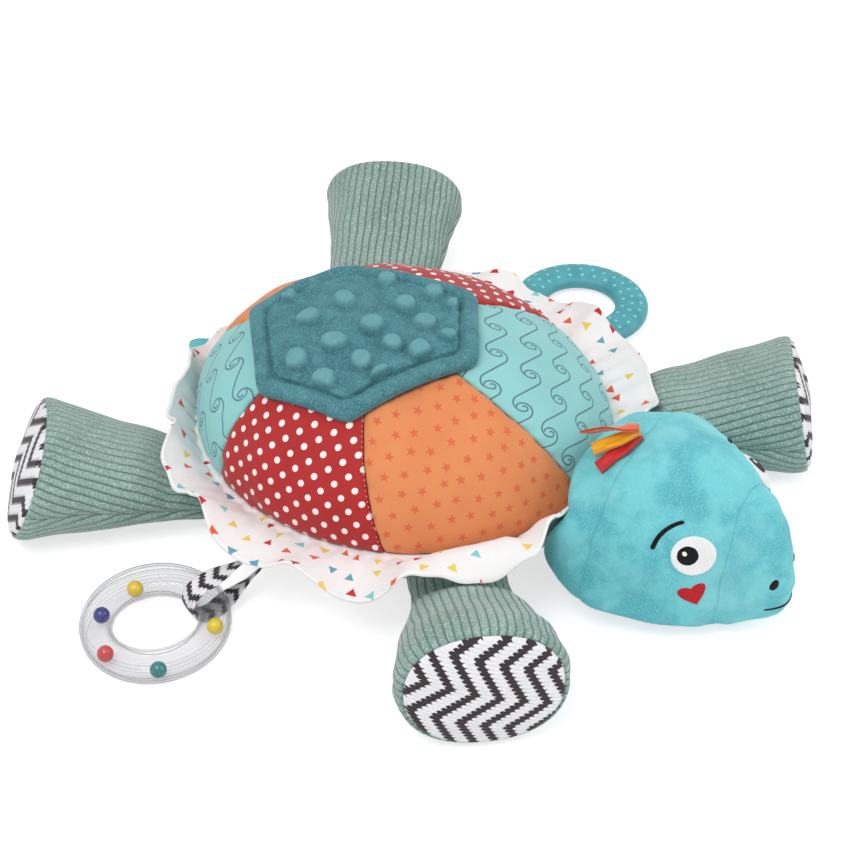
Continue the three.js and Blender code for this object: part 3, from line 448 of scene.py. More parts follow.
def scrolls(_, x, y):
    """Columns of scroll waves drawn in one thin dark line."""
    # The scroll is drawn on a cell of 14.2 by 17 and printed on one of 17 by 23 millimetres
    x, y = x / 1.2, y / 1.35
    column, period, bow, curl, line = 14.2, 17.0, 3.7, 1.15, 0.36
    y = y + (x / column + 0.5).floor() * 5.3
    x = x.wrap(column / 2, -column / 2)

    def stroke(away):
        return abs(away).fade(line - 0.12, line + 0.12, 1.0, 0.0)

    def beyond(centre, radius, degrees):
        return tuple(centre + radius * way_at(math.radians(degrees)))

    def arc(centre, radius, start, sweep, low):
        """1 on an arc that turns from start through sweep, in degrees, in a column that repeats."""
        off_x, off_y = x - centre[0], y.wrap(low + period, low) - centre[1]
        away, half, middle = span(off_x, off_y), math.radians(sweep / 2), math.radians(start + sweep / 2)
        facing = off_x * math.cos(middle) + off_y * math.sin(middle)
        return stroke(away - radius) * (facing > away * math.cos(half))

    first, last, end = (0.6, -1.7), (-0.6, -15.3), 305
    lean = math.degrees(math.asin(2 * bow / math.dist(first, last)))
    down = math.degrees(math.atan2(last[1] - first[1], last[0] - first[0])) - lean
    meet = down + 90
    drawn = arc(first, bow, meet, 140 - meet, -8).most(arc((-1.31, -0.09), 1.2, 140, 80, -8))
    drawn = drawn.most(arc(last, bow, meet + 180, end - 180 - meet, -23))
    drawn = drawn.most(arc(beyond(last, bow - curl, end), curl, end, 215, -23))
    start, (way_x, way_y) = beyond(first, bow, meet), beyond((0, 0), 1, down)
    off_x, off_y = x - start[0], y.wrap(0, -period) - start[1]
    along, aside = off_x * way_x + off_y * way_y, off_x * way_y - off_y * way_x
    length = math.sqrt(math.dist(first, last) ** 2 - 4 * bow**2)
    return drawn.most(stroke(aside) * (along > 0) * (along < length)), (84, 122, 138)


prints = {
    "wave": printed("wave_print", scrolls, ((132, 196, 196), (150, 210, 208))),
    "dot": printed("dot_print", dots, ((160, 20, 24), (184, 32, 32)), 55),
    "star": printed("star_print", stars, ((216, 126, 74), (228, 146, 90))),
}
across, up = np.meshgrid(np.linspace(0, 1, 85), np.linspace(0, 1, 65))
for panel in range(6):
    kind, end = ("wave", "dot", "star")[panel % 3], "left" if panel < 3 else "right"
    bare = patch_grid(panel, across, up, 0)
    wide = np.linalg.norm(np.diff(bare, axis=1), axis=2).sum(1)[:, None]
    tall = np.linalg.norm(np.diff(bare, axis=0), axis=2).sum(0)
    to_seam = np.minimum(np.minimum(across, 1 - across) * wide, np.minimum(up, 1 - up) * tall)
    puckers = soft_waves(bare, 9, 20 + panel) * 0.55 * np.exp(-to_seam / 7)
    depth = tucked(to_seam) + puckers + soft_waves(bare, 34, 40 + panel) * 0.55 * smooth(to_seam / 14)
    skins = two_sided(patch_grid(panel, across, up, depth), patch_grid(panel, across, up, PATCH_LOFT + CLOTH))
    cut = [flat_cut(bare, (bare[0, -1] - bare[0, 0]) * np.array([1, 1, 0]), turned=kind == "wave")] * 2
    node = f"shell_{kind}_patch_{end}"
    solid(f"{kind}_patch_{end}", *skins, "body", [node], prints[kind], cut, f"{kind}_print", 0.9)


def laid_stitches(name, lines, thread, body, **sizes):
    """Short stitches of thread along lines of points in millimetres; sizes are Pitch, Long and Thick."""
    first = np.cumsum([0] + [len(line) for line in lines])
    pairs = [(k, k + 1) for a, b in zip(first, first[1:]) for k in range(a, b - 1)]
    mesh = bpy.data.meshes.new(f"{name}_line")
    mesh.from_pydata((np.concatenate(lines) * MM).tolist(), pairs, [])
    row = placed(f"{name}_line", mesh)
    tree = bpy.data.node_groups.new(f"{name}_nodes", "GeometryNodeTree")
    tree.interface.new_socket("Line", in_out="INPUT", socket_type="NodeSocketGeometry")
    sockets = {
        label: tree.interface.new_socket(label, in_out="INPUT", socket_type="NodeSocketFloat").identifier
        for label in sizes
    }
    tree.interface.new_socket("Stitches", in_out="OUTPUT", socket_type="NodeSocketGeometry")

    def step(kind, links, **settings):
        node = tree.nodes.new(kind)
        for key, value in settings.items():
            setattr(node, key, value)
        for socket, source in links.items():
            if isinstance(source, bpy.types.NodeSocket):
                tree.links.new(source, node.inputs[socket])
            else:
                node.inputs[socket].default_value = source
        return node.outputs[0] if node.outputs else None

    given = tree.nodes.new("NodeGroupInput").outputs
    curve = step("GeometryNodeMeshToCurve", {"Mesh": given["Line"]})
    curve = step("GeometryNodeResampleCurve", {"Curve": curve, "Length": given["Pitch"]}, mode="LENGTH")
    turned = step("FunctionNodeAlignRotationToVector", {"Vector": step("GeometryNodeInputTangent", {})}, axis="X")
    stitch = step("GeometryNodeMeshUVSphere", {"Segments": 10, "Rings": 6, "Radius": 0.5})
    size = step("ShaderNodeCombineXYZ", {0: given["Long"], 1: given["Thick"], 2: given["Thick"]})
    stitch = step("GeometryNodeTransform", {"Geometry": stitch, "Scale": size})
    laid = step("GeometryNodeInstanceOnPoints", {"Points": curve, "Instance": stitch, "Rotation": turned})
    laid = step("GeometryNodeRealizeInstances", {"Geometry": laid})
    step("NodeGroupOutput", {0: step("GeometryNodeSetMaterial", {"Geometry": laid, "Material": thread.owner})})
    maker = row.modifiers.new("stitches", "NODES")
    maker.node_group = tree
    for label, size in sizes.items():
        maker[sockets[label]] = size * MM
    made = bpy.data.meshes.new_from_object(row.evaluated_get(bpy.context.evaluated_depsgraph_get()))
    bpy.data.objects.remove(row)
    made.shade_smooth()
    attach(placed(name, made), body)


seam_thread = Finish("seam_thread", Roughness=0.6)
seam_thread.tint(seam_thread.grain(900), (206, 166, 156), (236, 222, 214))
rows = np.linspace(0.03, 0.97, 60)
seams = [patch_grid(panel, 0 * rows + 0.992, rows, 1.75) for panel in (1, 4)]
laid_stitches("seam_stitches", seams, seam_thread, "body", Pitch=2.7, Long=1.0, Thick=0.42)


def pile(name, deep, mid, light, scale=1300, streak=45, sheen=0.8, raised=0.0, swept=0.4):
    """Short plush: fibres brushed this way and that, pale where they catch the light. Knob tops get a
    painted highlight, paler by the share raised; their height is the third part of the cut."""
    plush = Finish(name, Roughness=0.95, Sheen_Weight=sheen, Sheen_Roughness=0.36, Sheen_Tint=light)
    lie = plush.grain(streak, 3.0, 0.6).fade(0.38, 0.62)
    brushed = plush.grain(streak * 0.45, 3.0, 0.6).fade(0.48, 0.66, 0.0, swept)
    fibre = plush.grain(scale, 4.0, 0.7)
    colour = plush.blend(brushed, plush.blend(lie, deep, mid), light)
    # Painted highlight: the knob tops are paler by their height
    if raised:
        colour = plush.blend(plush.cut()[2].fade(0.25, 1.0, 0.0, raised), colour, light)
    return plush.tint(fibre.fade(0.45, 0.72, 0.0, 0.6), colour, light).bump(fibre + lie * 0.25, 0.0003)


# The hexagon under the flap is one deep green patch of the same short plush
turn = np.linspace(0, 1, 120, endpoint=False) * 6
share = np.linspace(1, 0, 26)[:, None]
outline = HEX_RADIUS * hexagon_at(np.floor(turn), turn - np.floor(turn))
shrunk = share[..., None] * outline * (1 - SEAM_GAP / 2 / (SHELL_WIDE * HEX_RADIUS)) + HEX_AT
depths = tucked((1 - share) * 46), PATCH_LOFT + CLOTH
skins = [shell_at(shrunk[..., 0], shrunk[..., 1], depth) for depth in depths]
solid(
    "centre_patch", *two_sided(*skins, closed=True, last_edge=False), "body", ["shell_centre_patch"],
    pile("centre_cloth", (24, 104, 102), (45, 140, 135), (80, 168, 160), sheen=0.5), slot="centre_cloth", fill=0.9,
)

# ------------------------------------------------------------------------------
# Flap: a loose hexagon of bumpy plush over the centre patch, two layers turned and top-stitched
# a finger's width from the edge. It is sewn down along its tail-side edge only, where its hinge line lies.
FLAP_AT, FLAP_RADIUS = np.array([-0.12, 0.12]), 0.575
STITCH_INSET, BUMP_RADIUS, BUMP_RISE = 9.4, 7.3, 6.2
SHELL_SIZE = np.array([SHELL_WIDE, SHELL_LONG])
# Its loose corners are drawn out and in, in millimetres
FLAP_PULL = np.array([(10, -3), (5, -9), (-5, -3), (-2, -3), (-1, -9), (-1, 3)])
# The knobs lie where the photograph shows them: a place in its own pixels and a size for each
KNOBS = [
    (308, 316, 1), (345, 299, 1), (372, 323, 1), (334, 340, 1.05), (296, 358, 1), (323, 379, 1.05),
    (361, 358, 0.95), (382, 373, 0.9), (392, 341, 0.85), (405, 303, 0.95), (420, 349, 1),
    (425, 320, 1), (448, 333, 0.65), (433, 291, 0.85), (454, 302, 0.65), (288, 294, 0.7), (387, 277, 0.95),
]


def bell(off):
    """1 in the middle, and dies away to both sides."""
    return np.exp(-(off**2))


def arch(share):
    """Rises from 0 to 1 half way and falls back."""
    return np.sin(math.pi * np.clip(share, 0, 1))


def rounded(share):
    """Rises from 0 to 1 as a quarter of a circle."""
    return np.sqrt(1 - (1 - np.clip(share, 0, 1)) ** 2)


corners = way_at(corner_turn(np.arange(6))) * (FLAP_RADIUS * SHELL_SIZE) + FLAP_PULL
edges = np.roll(corners, -1, axis=0) - corners
outward = unit(joined(edges[:, 1], -edges[:, 0]))
far = (corners * outward).sum(1)
turn, share = ring_turns(360), np.linspace(1, 0, 104)[:, None]
facing = ((way_at(turn) @ outward.T).clip(0) / far) ** 30
reach = facing.sum(1) ** (-1 / 30)
from_edge = (1 - share) * (facing / facing.sum(1)[:, None] @ far)
cut = (share * reach)[..., None] * way_at(turn)
flap_side, flap_long = np.moveaxis(cut / SHELL_SIZE + FLAP_AT, -1, 0)


def on_flap(pixel_x, pixel_y):
    """The place on the flap's own cut, in millimetres, that a pixel of the photograph shows."""
    half = PHOTO_SIZE / 2
    spread = math.tan(camera_angle / 2) / half
    way = np.array(right * ((pixel_x - half) * spread) + above * ((half - pixel_y) * spread) - back)
    # Measured in the raised dome's own widths, the dome is a ball
    wide, deep, tall = (size + 8 for size in (SHELL_WIDE, SHELL_LONG, SHELL_RISE))
    measure = np.linalg.inv([[wide, 0, LEAN_SIDE], [0, deep, LEAN_BACK], [0, 0, tall]])
    start, way = measure @ (np.array(eye.location) / MM - [0, 0, RIM]), measure @ way
    toward, size = start @ way, way @ way
    far_on = (-toward - math.sqrt(toward**2 - size * (start @ start - 1))) / size
    return ((start + far_on * way)[:2] - FLAP_AT) * SHELL_SIZE


bumps = np.zeros(from_edge.shape)
for number, (pixel_x, pixel_y, big) in enumerate(KNOBS):
    luck = np.random.default_rng(60 + number).uniform(-1, 1, 2)
    off, (cosine, sine) = cut - on_flap(pixel_x, pixel_y), way_at(luck[0] * 3)
    along, aside = off @ np.array([cosine, sine]), off @ np.array([-sine, cosine])
    away = np.hypot(along * (1 + 0.12 * luck[1]), aside * (1 - 0.12 * luck[1])) / (BUMP_RADIUS * big)
    bumps = np.maximum(bumps, smooth((1 - away) / 0.45) * (1 - 0.12 * away**2) * mix(0.5, 1, big))
from_stitch = from_edge - STITCH_INSET
field = smooth((from_stitch - 1) / 2.6)
roll, crown = rounded(from_edge / 3.4), arch(from_edge / STITCH_INSET) * 1.7
bed = shell_at(flap_side, flap_long, 0)
gathers = soft_waves(bed, 7, 62) * 0.75 * bell(from_stitch / 5)
height = REST_GAP + 4.2 * roll + crown - 3 * bell(from_stitch) + gathers * roll
height += field * (BUMP_RISE * bumps - 0.6 + soft_waves(bed, 17, 63) * 0.8) + soft_waves(bed, 30, 61) * 0.7 * roll
height = np.maximum(height, REST_GAP + 0.4 * roll)
skins = [shell_at(flap_side, flap_long, -over) for over in (height, REST_GAP)]
# The knobs' height, kept in the cut, paints their tops paler: a painted highlight
knobs = np.concatenate([cut, (field * bumps)[..., None]], -1)
flap = solid(
    "flap_plush", *two_sided(*skins, closed=True, last_edge=False), None, ["peekaboo_flap"],
    pile("bumpy_plush", (60, 113, 122), (72, 128, 136), (122, 180, 186), 1000, 110, 0.55, 0.5, 0.12),
    [knobs, knobs * np.array([1, 1, 0])], "bumpy_plush", 0.5,
)
hinge_plan = way_at(corner_turn(np.array([2, 3]))).mean(0) * FLAP_RADIUS
hinge, inner_hinge = (shell_at(*(FLAP_AT + hinge_plan * share), 0) * MM for share in (1, 0.78))
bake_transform(flap)

# ------------------------------------------------------------------------------
# Flippers: an upper and a lower cover of wide-wale corduroy, seamed along both sides, a round
# black and white knit sole, and fibre fill. Each is sewn into the rim seam at its narrow neck.
FLIPPER_LENGTH, FLIPPER_BURY, WALE = 92, 34, 4.3
NECK_AT, SOLE_AT, SOLE_THICK, SOLE_BULGE = 17.5, 32.6, 2, 5
FLIPPERS = {
    # where its root and its aim are as shares of a turn, its length, the turn and the slope of its sole
    "front_right": (-0.383, -0.396, 0.97, -17, 0.2),
    "front_left": (-0.133, -0.172, 1.12, 90, 0.2),
    "rear_right": (0.381, 0.347, 0.99, 90, 0.42),
    "rear_left": (0.106, 0.067, 1.14, 0, 0.2),
}


def round_power(value, power):
    return np.sign(value) * np.abs(value) ** power


def halved(inside, low, high, steps):
    """The last distance inside and the first outside, between low and high."""
    for _ in range(steps):
        middle = (low + high) / 2
        still = inside(middle)
        low, high = np.where(still, middle, low), np.where(still, high, middle)
    return low, high


def off_body(points, way, clearance):
    """Moves the points that lie in the body along a way until they touch its surface."""

    def in_body(moved):
        """1 inside the stuffed body grown by the clearance."""
        x, y, z = np.moveaxis(points + moved[..., None] * way, -1, 0)
        out = np.sqrt(1 - np.clip((BELLY_TOP - z) / BELLY_TOP, 0, 1) ** 2)
        wide, long = mix(FOOT_WIDE, SHELL_WIDE, out) + clearance, mix(FOOT_LONG, SHELL_LONG, out) + clearance
        below = (z <= RIM) & ((x / wide) ** 2 + (y / long) ** 2 < 1)
        up = (z - RIM) / (SHELL_RISE + clearance)
        side = (x - LEAN_SIDE * up) / (SHELL_WIDE + clearance)
        back = (y - LEAN_BACK * up) / (SHELL_LONG + clearance)
        return below | ((z > RIM) & (side**2 + back**2 + up**2 < 1))

    still = np.zeros(points.shape[:-1])
    _, high = halved(in_body, still, still + 80, 24)
    return points + (high * in_body(still))[..., None] * way


def limb_at(limb, along, across, height):
    """A point by its place along, across and above a limb's root on the rim."""
    root, aim = limb[0] * FULL, limb[1] * FULL
    return joined(
        SHELL_WIDE * math.cos(root) + along * math.cos(aim) - across * math.sin(aim),
        SHELL_LONG * math.sin(root) + along * math.sin(aim) + across * math.cos(aim),
        height,
    )


def flipper_at(limb, along, turn, depth, lift=0.0, share_wide=1.0):
    share = np.maximum(0, along / (FLIPPER_LENGTH * limb[2]))
    # The near foot keeps a narrow neck and then widens at once
    flare = smooth((share - 0.1) / 0.82) if limb is FLIPPERS["front_right"] else share**1.15
    across = share_wide * (mix(25, 42, flare) - depth) * round_power(np.cos(turn), 0.9)
    up = share_wide * (mix(13.5, 32, flare) - depth) * round_power(np.sin(turn), 0.9)
    return limb_at(limb, along - limb[4] * up * share * share, across, mix(NECK_AT, SOLE_AT, share) + up + lift)


def path_run(points, axis):
    """How far each point of a path lies from its start."""
    steps = np.linalg.norm(np.diff(points, axis=axis), axis=-1)
    return np.concatenate([np.zeros_like(steps.take([0], axis)), steps.cumsum(axis)], axis)


def stuffed(grid):
    """Points and faces of a stuffed form from its rows, closed in a point at both ends."""
    ends = [grid[k:k + 1].mean(1, keepdims=True) + 0 * grid[:1] for k in (0, len(grid) - 1)]
    rows = np.concatenate([ends[0], grid, ends[1]])
    return rows, wrapped(*rows.shape[:2])


def left_of(way):
    return np.array([-way[1], way[0], 0])


# Sage corduroy: soft round wales with a dark line of painted shade in the groove between, brushed lighter on top
ribbed = Finish("corduroy", Roughness=0.95, Sheen_Weight=0.35, Sheen_Roughness=0.45)
wander = (ribbed.grain(45, 1.0) - 0.5) * 1.3
off = abs(((ribbed.cut()[0] + wander) / WALE).fract() - 0.5) * 2
nap = ribbed.grain(900, 3.0, 0.7)
wale = ribbed.blend(ribbed.grain(35).fade(0.3, 0.7), (116, 148, 138), (136, 165, 156))
wale = ribbed.blend(nap.fade(0.44, 0.66, 0.0, 0.8), wale, (184, 205, 198))
# The dark groove colour is painted shade
ribbed.tint(off.fade(0.72, 0.97) * 0.75, wale, (74, 100, 92)).bump(nap * 0.3 + (1 - off * off * off), 0.0009)


def zigzag_knit(name, spread, swing, pitch, turn, inked):
    """White knit with black zigzag bands, whose edges step from stitch to stitch."""
    knit = Finish(name, Roughness=0.9, Sheen_Weight=0.1)
    x, y, _ = knit.cut()
    cosine, sine = math.cos(math.radians(turn)), math.sin(math.radians(turn))
    x, y = x * cosine + y * sine, y * cosine - x * sine
    stitch = 1.9
    row = (y / stitch).floor() * stitch
    zig = abs((row / swing).fract() - 0.5) * (2 * spread)
    tooth = abs((y / stitch).fract() - 0.5) * 2.4
    band = ((x - zig - tooth) / pitch).fract()
    ink = band.fade(0.0, 0.03) * band.fade(inked, inked + 0.03, 1.0, 0.0)
    knit.tint(ink, knit.blend(knit.grain(300, 3.0), (226, 226, 230), (246, 246, 248)), (52, 42, 46))
    return knit.bump((y * (FULL / stitch)).sin() * 0.5 + (x * (FULL / 1.3)).sin() * 0.5, 0.00022)


for name, limb in FLIPPERS.items():
    body, length = f"{name}_flipper", FLIPPER_LENGTH * limb[2]
    aim_way = np.array([*way_at(limb[1] * FULL), 0])

    def flipper_skin(along, turn, depth, lift=0.0):
        grid = flipper_at(limb, along, turn, depth, lift)
        # The neck is drawn in where the foot turns up, and the seams pull a shallow line
        upper = np.clip(np.sin(turn), 0, 1)
        fold = bell((along - 19) / 5) * upper * (4.5 if name == "front_right" else 2)
        grid[..., 2] += bell((along - 34) / 10) * upper * 1.5 - fold
        dents = soft_waves(grid, 30, 70 + len(name)) * 0.7 + soft_waves(grid, 13, 75) * 0.25
        out = unit(grid - limb_at(limb, along, 0, mix(NECK_AT, SOLE_AT, np.maximum(0, along / length))))
        calm = smooth((length - along) / 12) * smooth((along + 4) / 10)
        seam = bell(np.sin(turn) * 25 / 2.2) * 1.1
        turned_in = np.clip((along - length + 9) / 9, 0, 1)
        end = 3.4 * (1 - np.sqrt(1 - 0.97 * turned_in**2))
        grid = grid + out * (dents * calm - seam * (1 - turned_in) - end)[..., None]
        # It presses softly flat on the table
        floor, press = 0.6 + depth * 0.8, 0.9
        grid[..., 2] = floor + press * np.logaddexp(0, (grid[..., 2] - floor) / press)
        return off_body(grid, aim_way, 0.5 + depth * 0.2)

    filled, rows = [], mix(-FLIPPER_BURY, length - 0.2, np.linspace(0, 1, 100))
    along, half_turns = np.meshgrid(rows, np.linspace(0, 1, 96), indexing="ij")
    for half, start, lift in (("upper", 0, 0.2), ("lower", 1, -0.2)):
        turn = (half_turns + start) * math.pi
        around = path_run(flipper_at(limb, along, turn, 0, lift), 1)
        cut = joined(around - around[:, 48:49], along)
        skins = two_sided(*(flipper_skin(along, turn, depth, lift) for depth in (0, CLOTH)))
        node = f"{name}_flipper_{half}_cover"
        filled.append(solid(f"{name}_{half}_corduroy", *skins, None, [node], ribbed, [cut, cut], "corduroy", 0.85))

    along, turn = np.meshgrid(mix(-FLIPPER_BURY, length - 1, np.linspace(0, 1, 24)), ring_turns(48), indexing="ij")
    core = stuffed(off_body(flipper_skin(along, turn, CLOTH + 1.2), aim_way, 1.6))
    node = f"{name}_flipper_stuffing"
    filled.append(solid(f"{name}_fill", *core, None, [node], fibre, slot="stuffing", fill=0.85))
    root = limb_at(limb, 0, 0, RIM - 1)
    for piece in filled:
        (root - 2 * aim_way) * MM
        (root + 15 * aim_way) * MM
        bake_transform(piece)

    turn, share = ring_turns(120), np.linspace(1, 0, 26)[:, None]
    seat = flipper_at(limb, length - 0.6, turn, 1.0, 0, 0.935 * share)
    front = (SOLE_THICK + SOLE_BULGE * (1 - share**2)) * smooth((1 - share) / 0.05 + 0.15)
    front = front + soft_waves(seat, 28, 80) * 0.5 * smooth((1 - share) / 0.2)
    across = (seat - limb_at(limb, length, 0, SOLE_AT)) @ left_of(aim_way)
    cut = joined(across, seat[..., 2] - SOLE_AT)
    skins = two_sided(seat + front[..., None] * aim_way, seat, closed=True, last_edge=False)
    knit = zigzag_knit(f"{name}_sole_knit", 15, 33, 12, limb[3], 0.43)
    solid(f"{name}_sole", *skins, body, [f"{name}_flipper_sole"], knit, [cut, cut], "zigzag_knit", 0.7)

# ------------------------------------------------------------------------------
# Tail: a small stuffed fin of the head's plush, sewn into the rim seam behind.
TAIL_LENGTH, TAIL_WIDE, TAIL_HALF_HIGH, TAIL_AT = 26, 17, 7, 24
head_plush = pile("head_plush", (84, 178, 190), (114, 204, 211), (150, 218, 223), 1100, 46, 1.0)
along, turn = np.meshgrid(np.linspace(-TAIL_LENGTH / 2, TAIL_LENGTH, 40), ring_turns(60), indexing="ij")
share = np.maximum(0, along / TAIL_LENGTH)
taper = np.sqrt(np.maximum(0.02, 1 - share**3))
wide = TAIL_WIDE * mix(1, 0.55, share) * taper * np.cos(turn)
rise = TAIL_AT + 0.35 * TAIL_LENGTH * share + TAIL_HALF_HIGH * mix(1, 0.6, share) * taper * np.sin(turn)
fin = stuffed(off_body(limb_at((0.25, 0.25), along, wide, rise), np.array([0, 1, 0]), 0.5))
tail = solid("tail_plush", *fin, None, ["tail"], head_plush, slot="head_plush", fill=0.8)
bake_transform(tail)

# ------------------------------------------------------------------------------
# Frill: a folded strip of white cotton with small scattered triangles, gathered into the rim
# seam. It lies over the flippers, the tail and the two loops, and is cut into stretches at each of them.
FRILL_WIDTH, FOLD_DEPTH, SEAM_INSET, SEAM_REACH = 31, 4.5, 3, 2
# share of a turn from +X, how far it stands up in degrees, width and fold depth as shares
FRILL_KEYS = np.array([
    (-0.5, 15.3, 1, 1), (-0.444, 8.1, 1, 0.8), (-0.417, 27, 1, 0.6), (-0.375, 23, 1, 0.5),
    (-0.345, 30, 1, 0.6), (-0.322, 60, 0.95, 0.3), (-0.305, 66, 0.85, 0.2), (-0.25, 75.6, 0.72, 0.2),
    (-0.194, 60.3, 0.85, 0.2), (-0.144, 21.6, 0.75, 0.3), (-0.111, 18, 0.85, 0.4), (-0.069, 17.1, 0.9, 1),
    (0, 1.8, 1, 1), (0.033, 5.4, 0.9, 0.8), (0.067, 26.1, 0.6, 0.4), (0.139, 26.1, 0.6, 0.4),
    (0.183, -8.1, 0.6, 0.8), (0.217, -5.4, 0.5, 0.5), (0.25, 16.2, 0.42, 0.3), (0.289, 65.7, 0.62, 0.5),
    (0.333, 68.4, 0.66, 0.7), (0.367, 50.4, 0.75, 0.8), (0.403, 44.1, 0.95, 1), (0.439, 29.7, 1, 1),
    (0.472, 19.8, 1, 1), (0.5, 15.3, 1, 1),
])
# Where it lies on a moving piece: the middle and half width of that stretch, as shares of a turn
CARRIED = [
    (-0.383, 0.055, "front_right_flipper"), (-0.133, 0.055, "front_left_flipper"),
    (0.381, 0.055, "rear_right_flipper"), (0.106, 0.05, "rear_left_flipper"), (0.25, 0.034, "tail"),
    (0.478, 0.034, "rattle_loop"), (-0.017, 0.04, "teether_loop"),
]
TRIANGLE_DYES = [(200, 32, 42), (96, 160, 176), (236, 202, 92), (228, 92, 52), (126, 204, 202)]
STEPS, FRILL_START, LEAST_CUT = 1000, -0.488, 10.1


def frill_shape(turn_share):
    """How steeply the frill stands, how wide it is and how deep it folds at a share of a turn."""
    place = (turn_share + 0.5) % 1 - 0.5
    after = np.clip(np.searchsorted(FRILL_KEYS[:, 0], place, side="right"), 1, len(FRILL_KEYS) - 1)
    before, after = FRILL_KEYS[after - 1], FRILL_KEYS[after]
    along = smooth((place - before[..., 0]) / (after[..., 0] - before[..., 0]))
    rise, wide, fold = (mix(before[..., k], after[..., k], along) for k in (1, 2, 3))
    return np.radians(rise), wide * FRILL_WIDTH, fold


def frill_at(turn_share, reach, side):
    """side is 1 for the upper layer and -1 for the lower; reach runs from the seam, 0, to the hem, 1."""
    (rise, wide, fold), turn = frill_shape(turn_share), turn_share * FULL
    path = reach * (SEAM_INSET + SEAM_REACH + wide) - SEAM_INSET
    out = np.maximum(0, path - SEAM_REACH)
    share = np.clip(out / wide, 0, 1)
    # Where nothing lies under it the pleats are deeper and lean over
    free = smooth((fold - 0.6) / 0.35)
    ripple = FOLD_DEPTH * fold * (1 + 0.45 * free) * np.sin(14 * turn) * (out / wide) ** 1.5
    # Small gathers start at the seam and die away towards the hem
    gather = np.sin(61 * turn + 2 * np.sin(9 * turn)) * 0.75 * np.exp(-out / 11) * smooth(path / 4)
    gather = gather + np.sin(37 * turn + 3 * np.sin(5 * turn)) * 0.9 * fold * smooth(out / 20)
    # Over the near foot it stands up from the seam and bows over, hem down
    bow = 11.5 * bell((turn_share + 0.373) / 0.042) * arch(share) ** 0.8
    hem = 0.45 * bell((wide - out) / 1.6)
    edge = mix(0.08, 1, rounded((wide - out) / 1.2))
    lean = rise * smooth(path / SEAM_REACH)
    turn = turn + 0.034 * free * np.cos(14 * turn + 0.6) * share**1.6
    lift = ripple + gather + bow + side * (FRILL_HALF + hem) * edge
    radial = np.minimum(path, SEAM_REACH) + np.cos(rise) * out - np.sin(lean) * lift
    flat = (SHELL_SIZE + radial[..., None]) * way_at(turn)
    return np.concatenate([flat, (RIM + np.sin(rise) * out + np.cos(lean) * lift)[..., None]], -1)


def triangles(cotton, x, y):
    """Small triangles in five colours, each turned and placed by chance."""
    pitch, shift, side = 13.5, 5.5, FULL / 3
    column, row = (x / pitch).floor(), (y / pitch).floor()
    luck = [cotton.chance(column, row, seed) for seed in (1.5, 4.5, 7.5, 10.5)]
    off_x = ((x / pitch).fract() - 0.5) * pitch + (luck[0] - 0.5) * shift
    off_y = ((y / pitch).fract() - 0.5) * pitch + (luck[1] - 0.5) * shift
    bend = (((off_y.angle(off_x) + luck[2] * FULL) / side).fract() - 0.5) * side
    pick, colour = cotton.chance(row, column, 13.5), TRIANGLE_DYES[0]
    for index, other in enumerate(TRIANGLE_DYES[1:], 1):
        colour = cotton.blend(pick > index / len(TRIANGLE_DYES), colour, other)
    return (span(off_x, off_y) * bend.cos()).fade(1.55, 1.75, 1.0, 0.0) * (luck[3] > 0.12), colour


rounding = 1 - 0.035 * (1 - np.sin(np.linspace(0, math.pi / 2, 6)))
reaches = np.concatenate([np.linspace(0, 5, 7)[:-1] / 36, np.linspace(5 / 36, rounding[0], 17)[:-1], rounding])
turn_share, reach = np.meshgrid(FRILL_START + np.linspace(0, 1, STEPS + 1), reaches, indexing="ij")
layers = [frill_at(turn_share, reach, side) for side in (1, -1)]
middle = (layers[0] + layers[1]) / 2
run, down = path_run(middle[:, -8], 0)[:, None], path_run(middle, 1)
cuts = [joined(run, down), joined(run + 5, down + 57)]
# The normals come from the whole closed frill, so no cut between two stretches shows
whole, faces = two_sided(*[layer[:-1].transpose(1, 0, 2) for layer in layers], closed=True)
ring = bpy.data.meshes.new("whole_frill")
ring.from_pydata(whole.tolist(), [], faces)
shape = bmesh.new()
shape.from_mesh(ring)
bmesh.ops.recalc_face_normals(shape, faces=shape.faces)
shape.normal_update()
whole = np.array([corner.normal for corner in shape.verts]).reshape(2, len(reaches), STEPS, 3)
shape.free()
bpy.data.meshes.remove(ring)
normals = [np.concatenate([layer, layer[:1]]) for layer in whole.transpose(0, 2, 1, 3)]
white_cotton = printed("triangle_print", triangles, ((232, 230, 230), (246, 245, 244)), 40, 0.45, 120, 0.85, 0.1)
stretches, at = [], FRILL_START
for centre, half, body in sorted(CARRIED):
    stretches += [(at, centre - half, None), (centre - half, centre, body), (centre + half, centre, body)]
    at = centre + half
for number, (edge, other, body) in enumerate(stretches):
    low, high = sorted(round((end - FRILL_START) * STEPS) for end in (edge, other))
    strip = slice(low, high + 1)
    cut = np.concatenate([place[strip].reshape(-1, 2) for place in cuts])
    skins = two_sided(*[layer[strip] for layer in layers])
    piece = solid(f"frill_{number:02d}", *skins, None, ["frill"], white_cotton, cut, "triangle_print")
    out = np.concatenate([normal[strip].reshape(-1, 3) for normal in normals])
    piece.data.normals_split_custom_set_from_vertices(out.tolist())
    long, wide = max(LEAST_CUT, float(run[high, 0] - run[low, 0])), float(down[strip, -1].mean())
    wide * MM
    if body:
        rim = [np.array([*SHELL_SIZE * way_at(end * FULL), RIM]) * MM for end in (edge, other)]
        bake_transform(piece)
    else:
        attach(piece, "body")

# ------------------------------------------------------------------------------
# Head: short turquoise plush round a ball of fill. The back, the face and the muzzle are three
# covers that meet in the crown seam and in the crease behind the nose; the neck sits on the rim.
HEAD_BACK, HEAD_MIDDLE, HEAD_HALF = -98, -162, 64
HEAD_WIDE, HEAD_CROWN, HEAD_CHIN, HEAD_WAIST = 52, 74, 14, 18
CROWN_SEAM, MUZZLE_SEAM = -140, -200
HEAD_TURN = -0.024 * math.pi
HEAD_CORE = np.array([0, HEAD_MIDDLE, HEAD_WAIST + HEAD_CHIN])
EYES = {"left": (20.5, -185, 63.5), "right": (-31, -185, 53)}


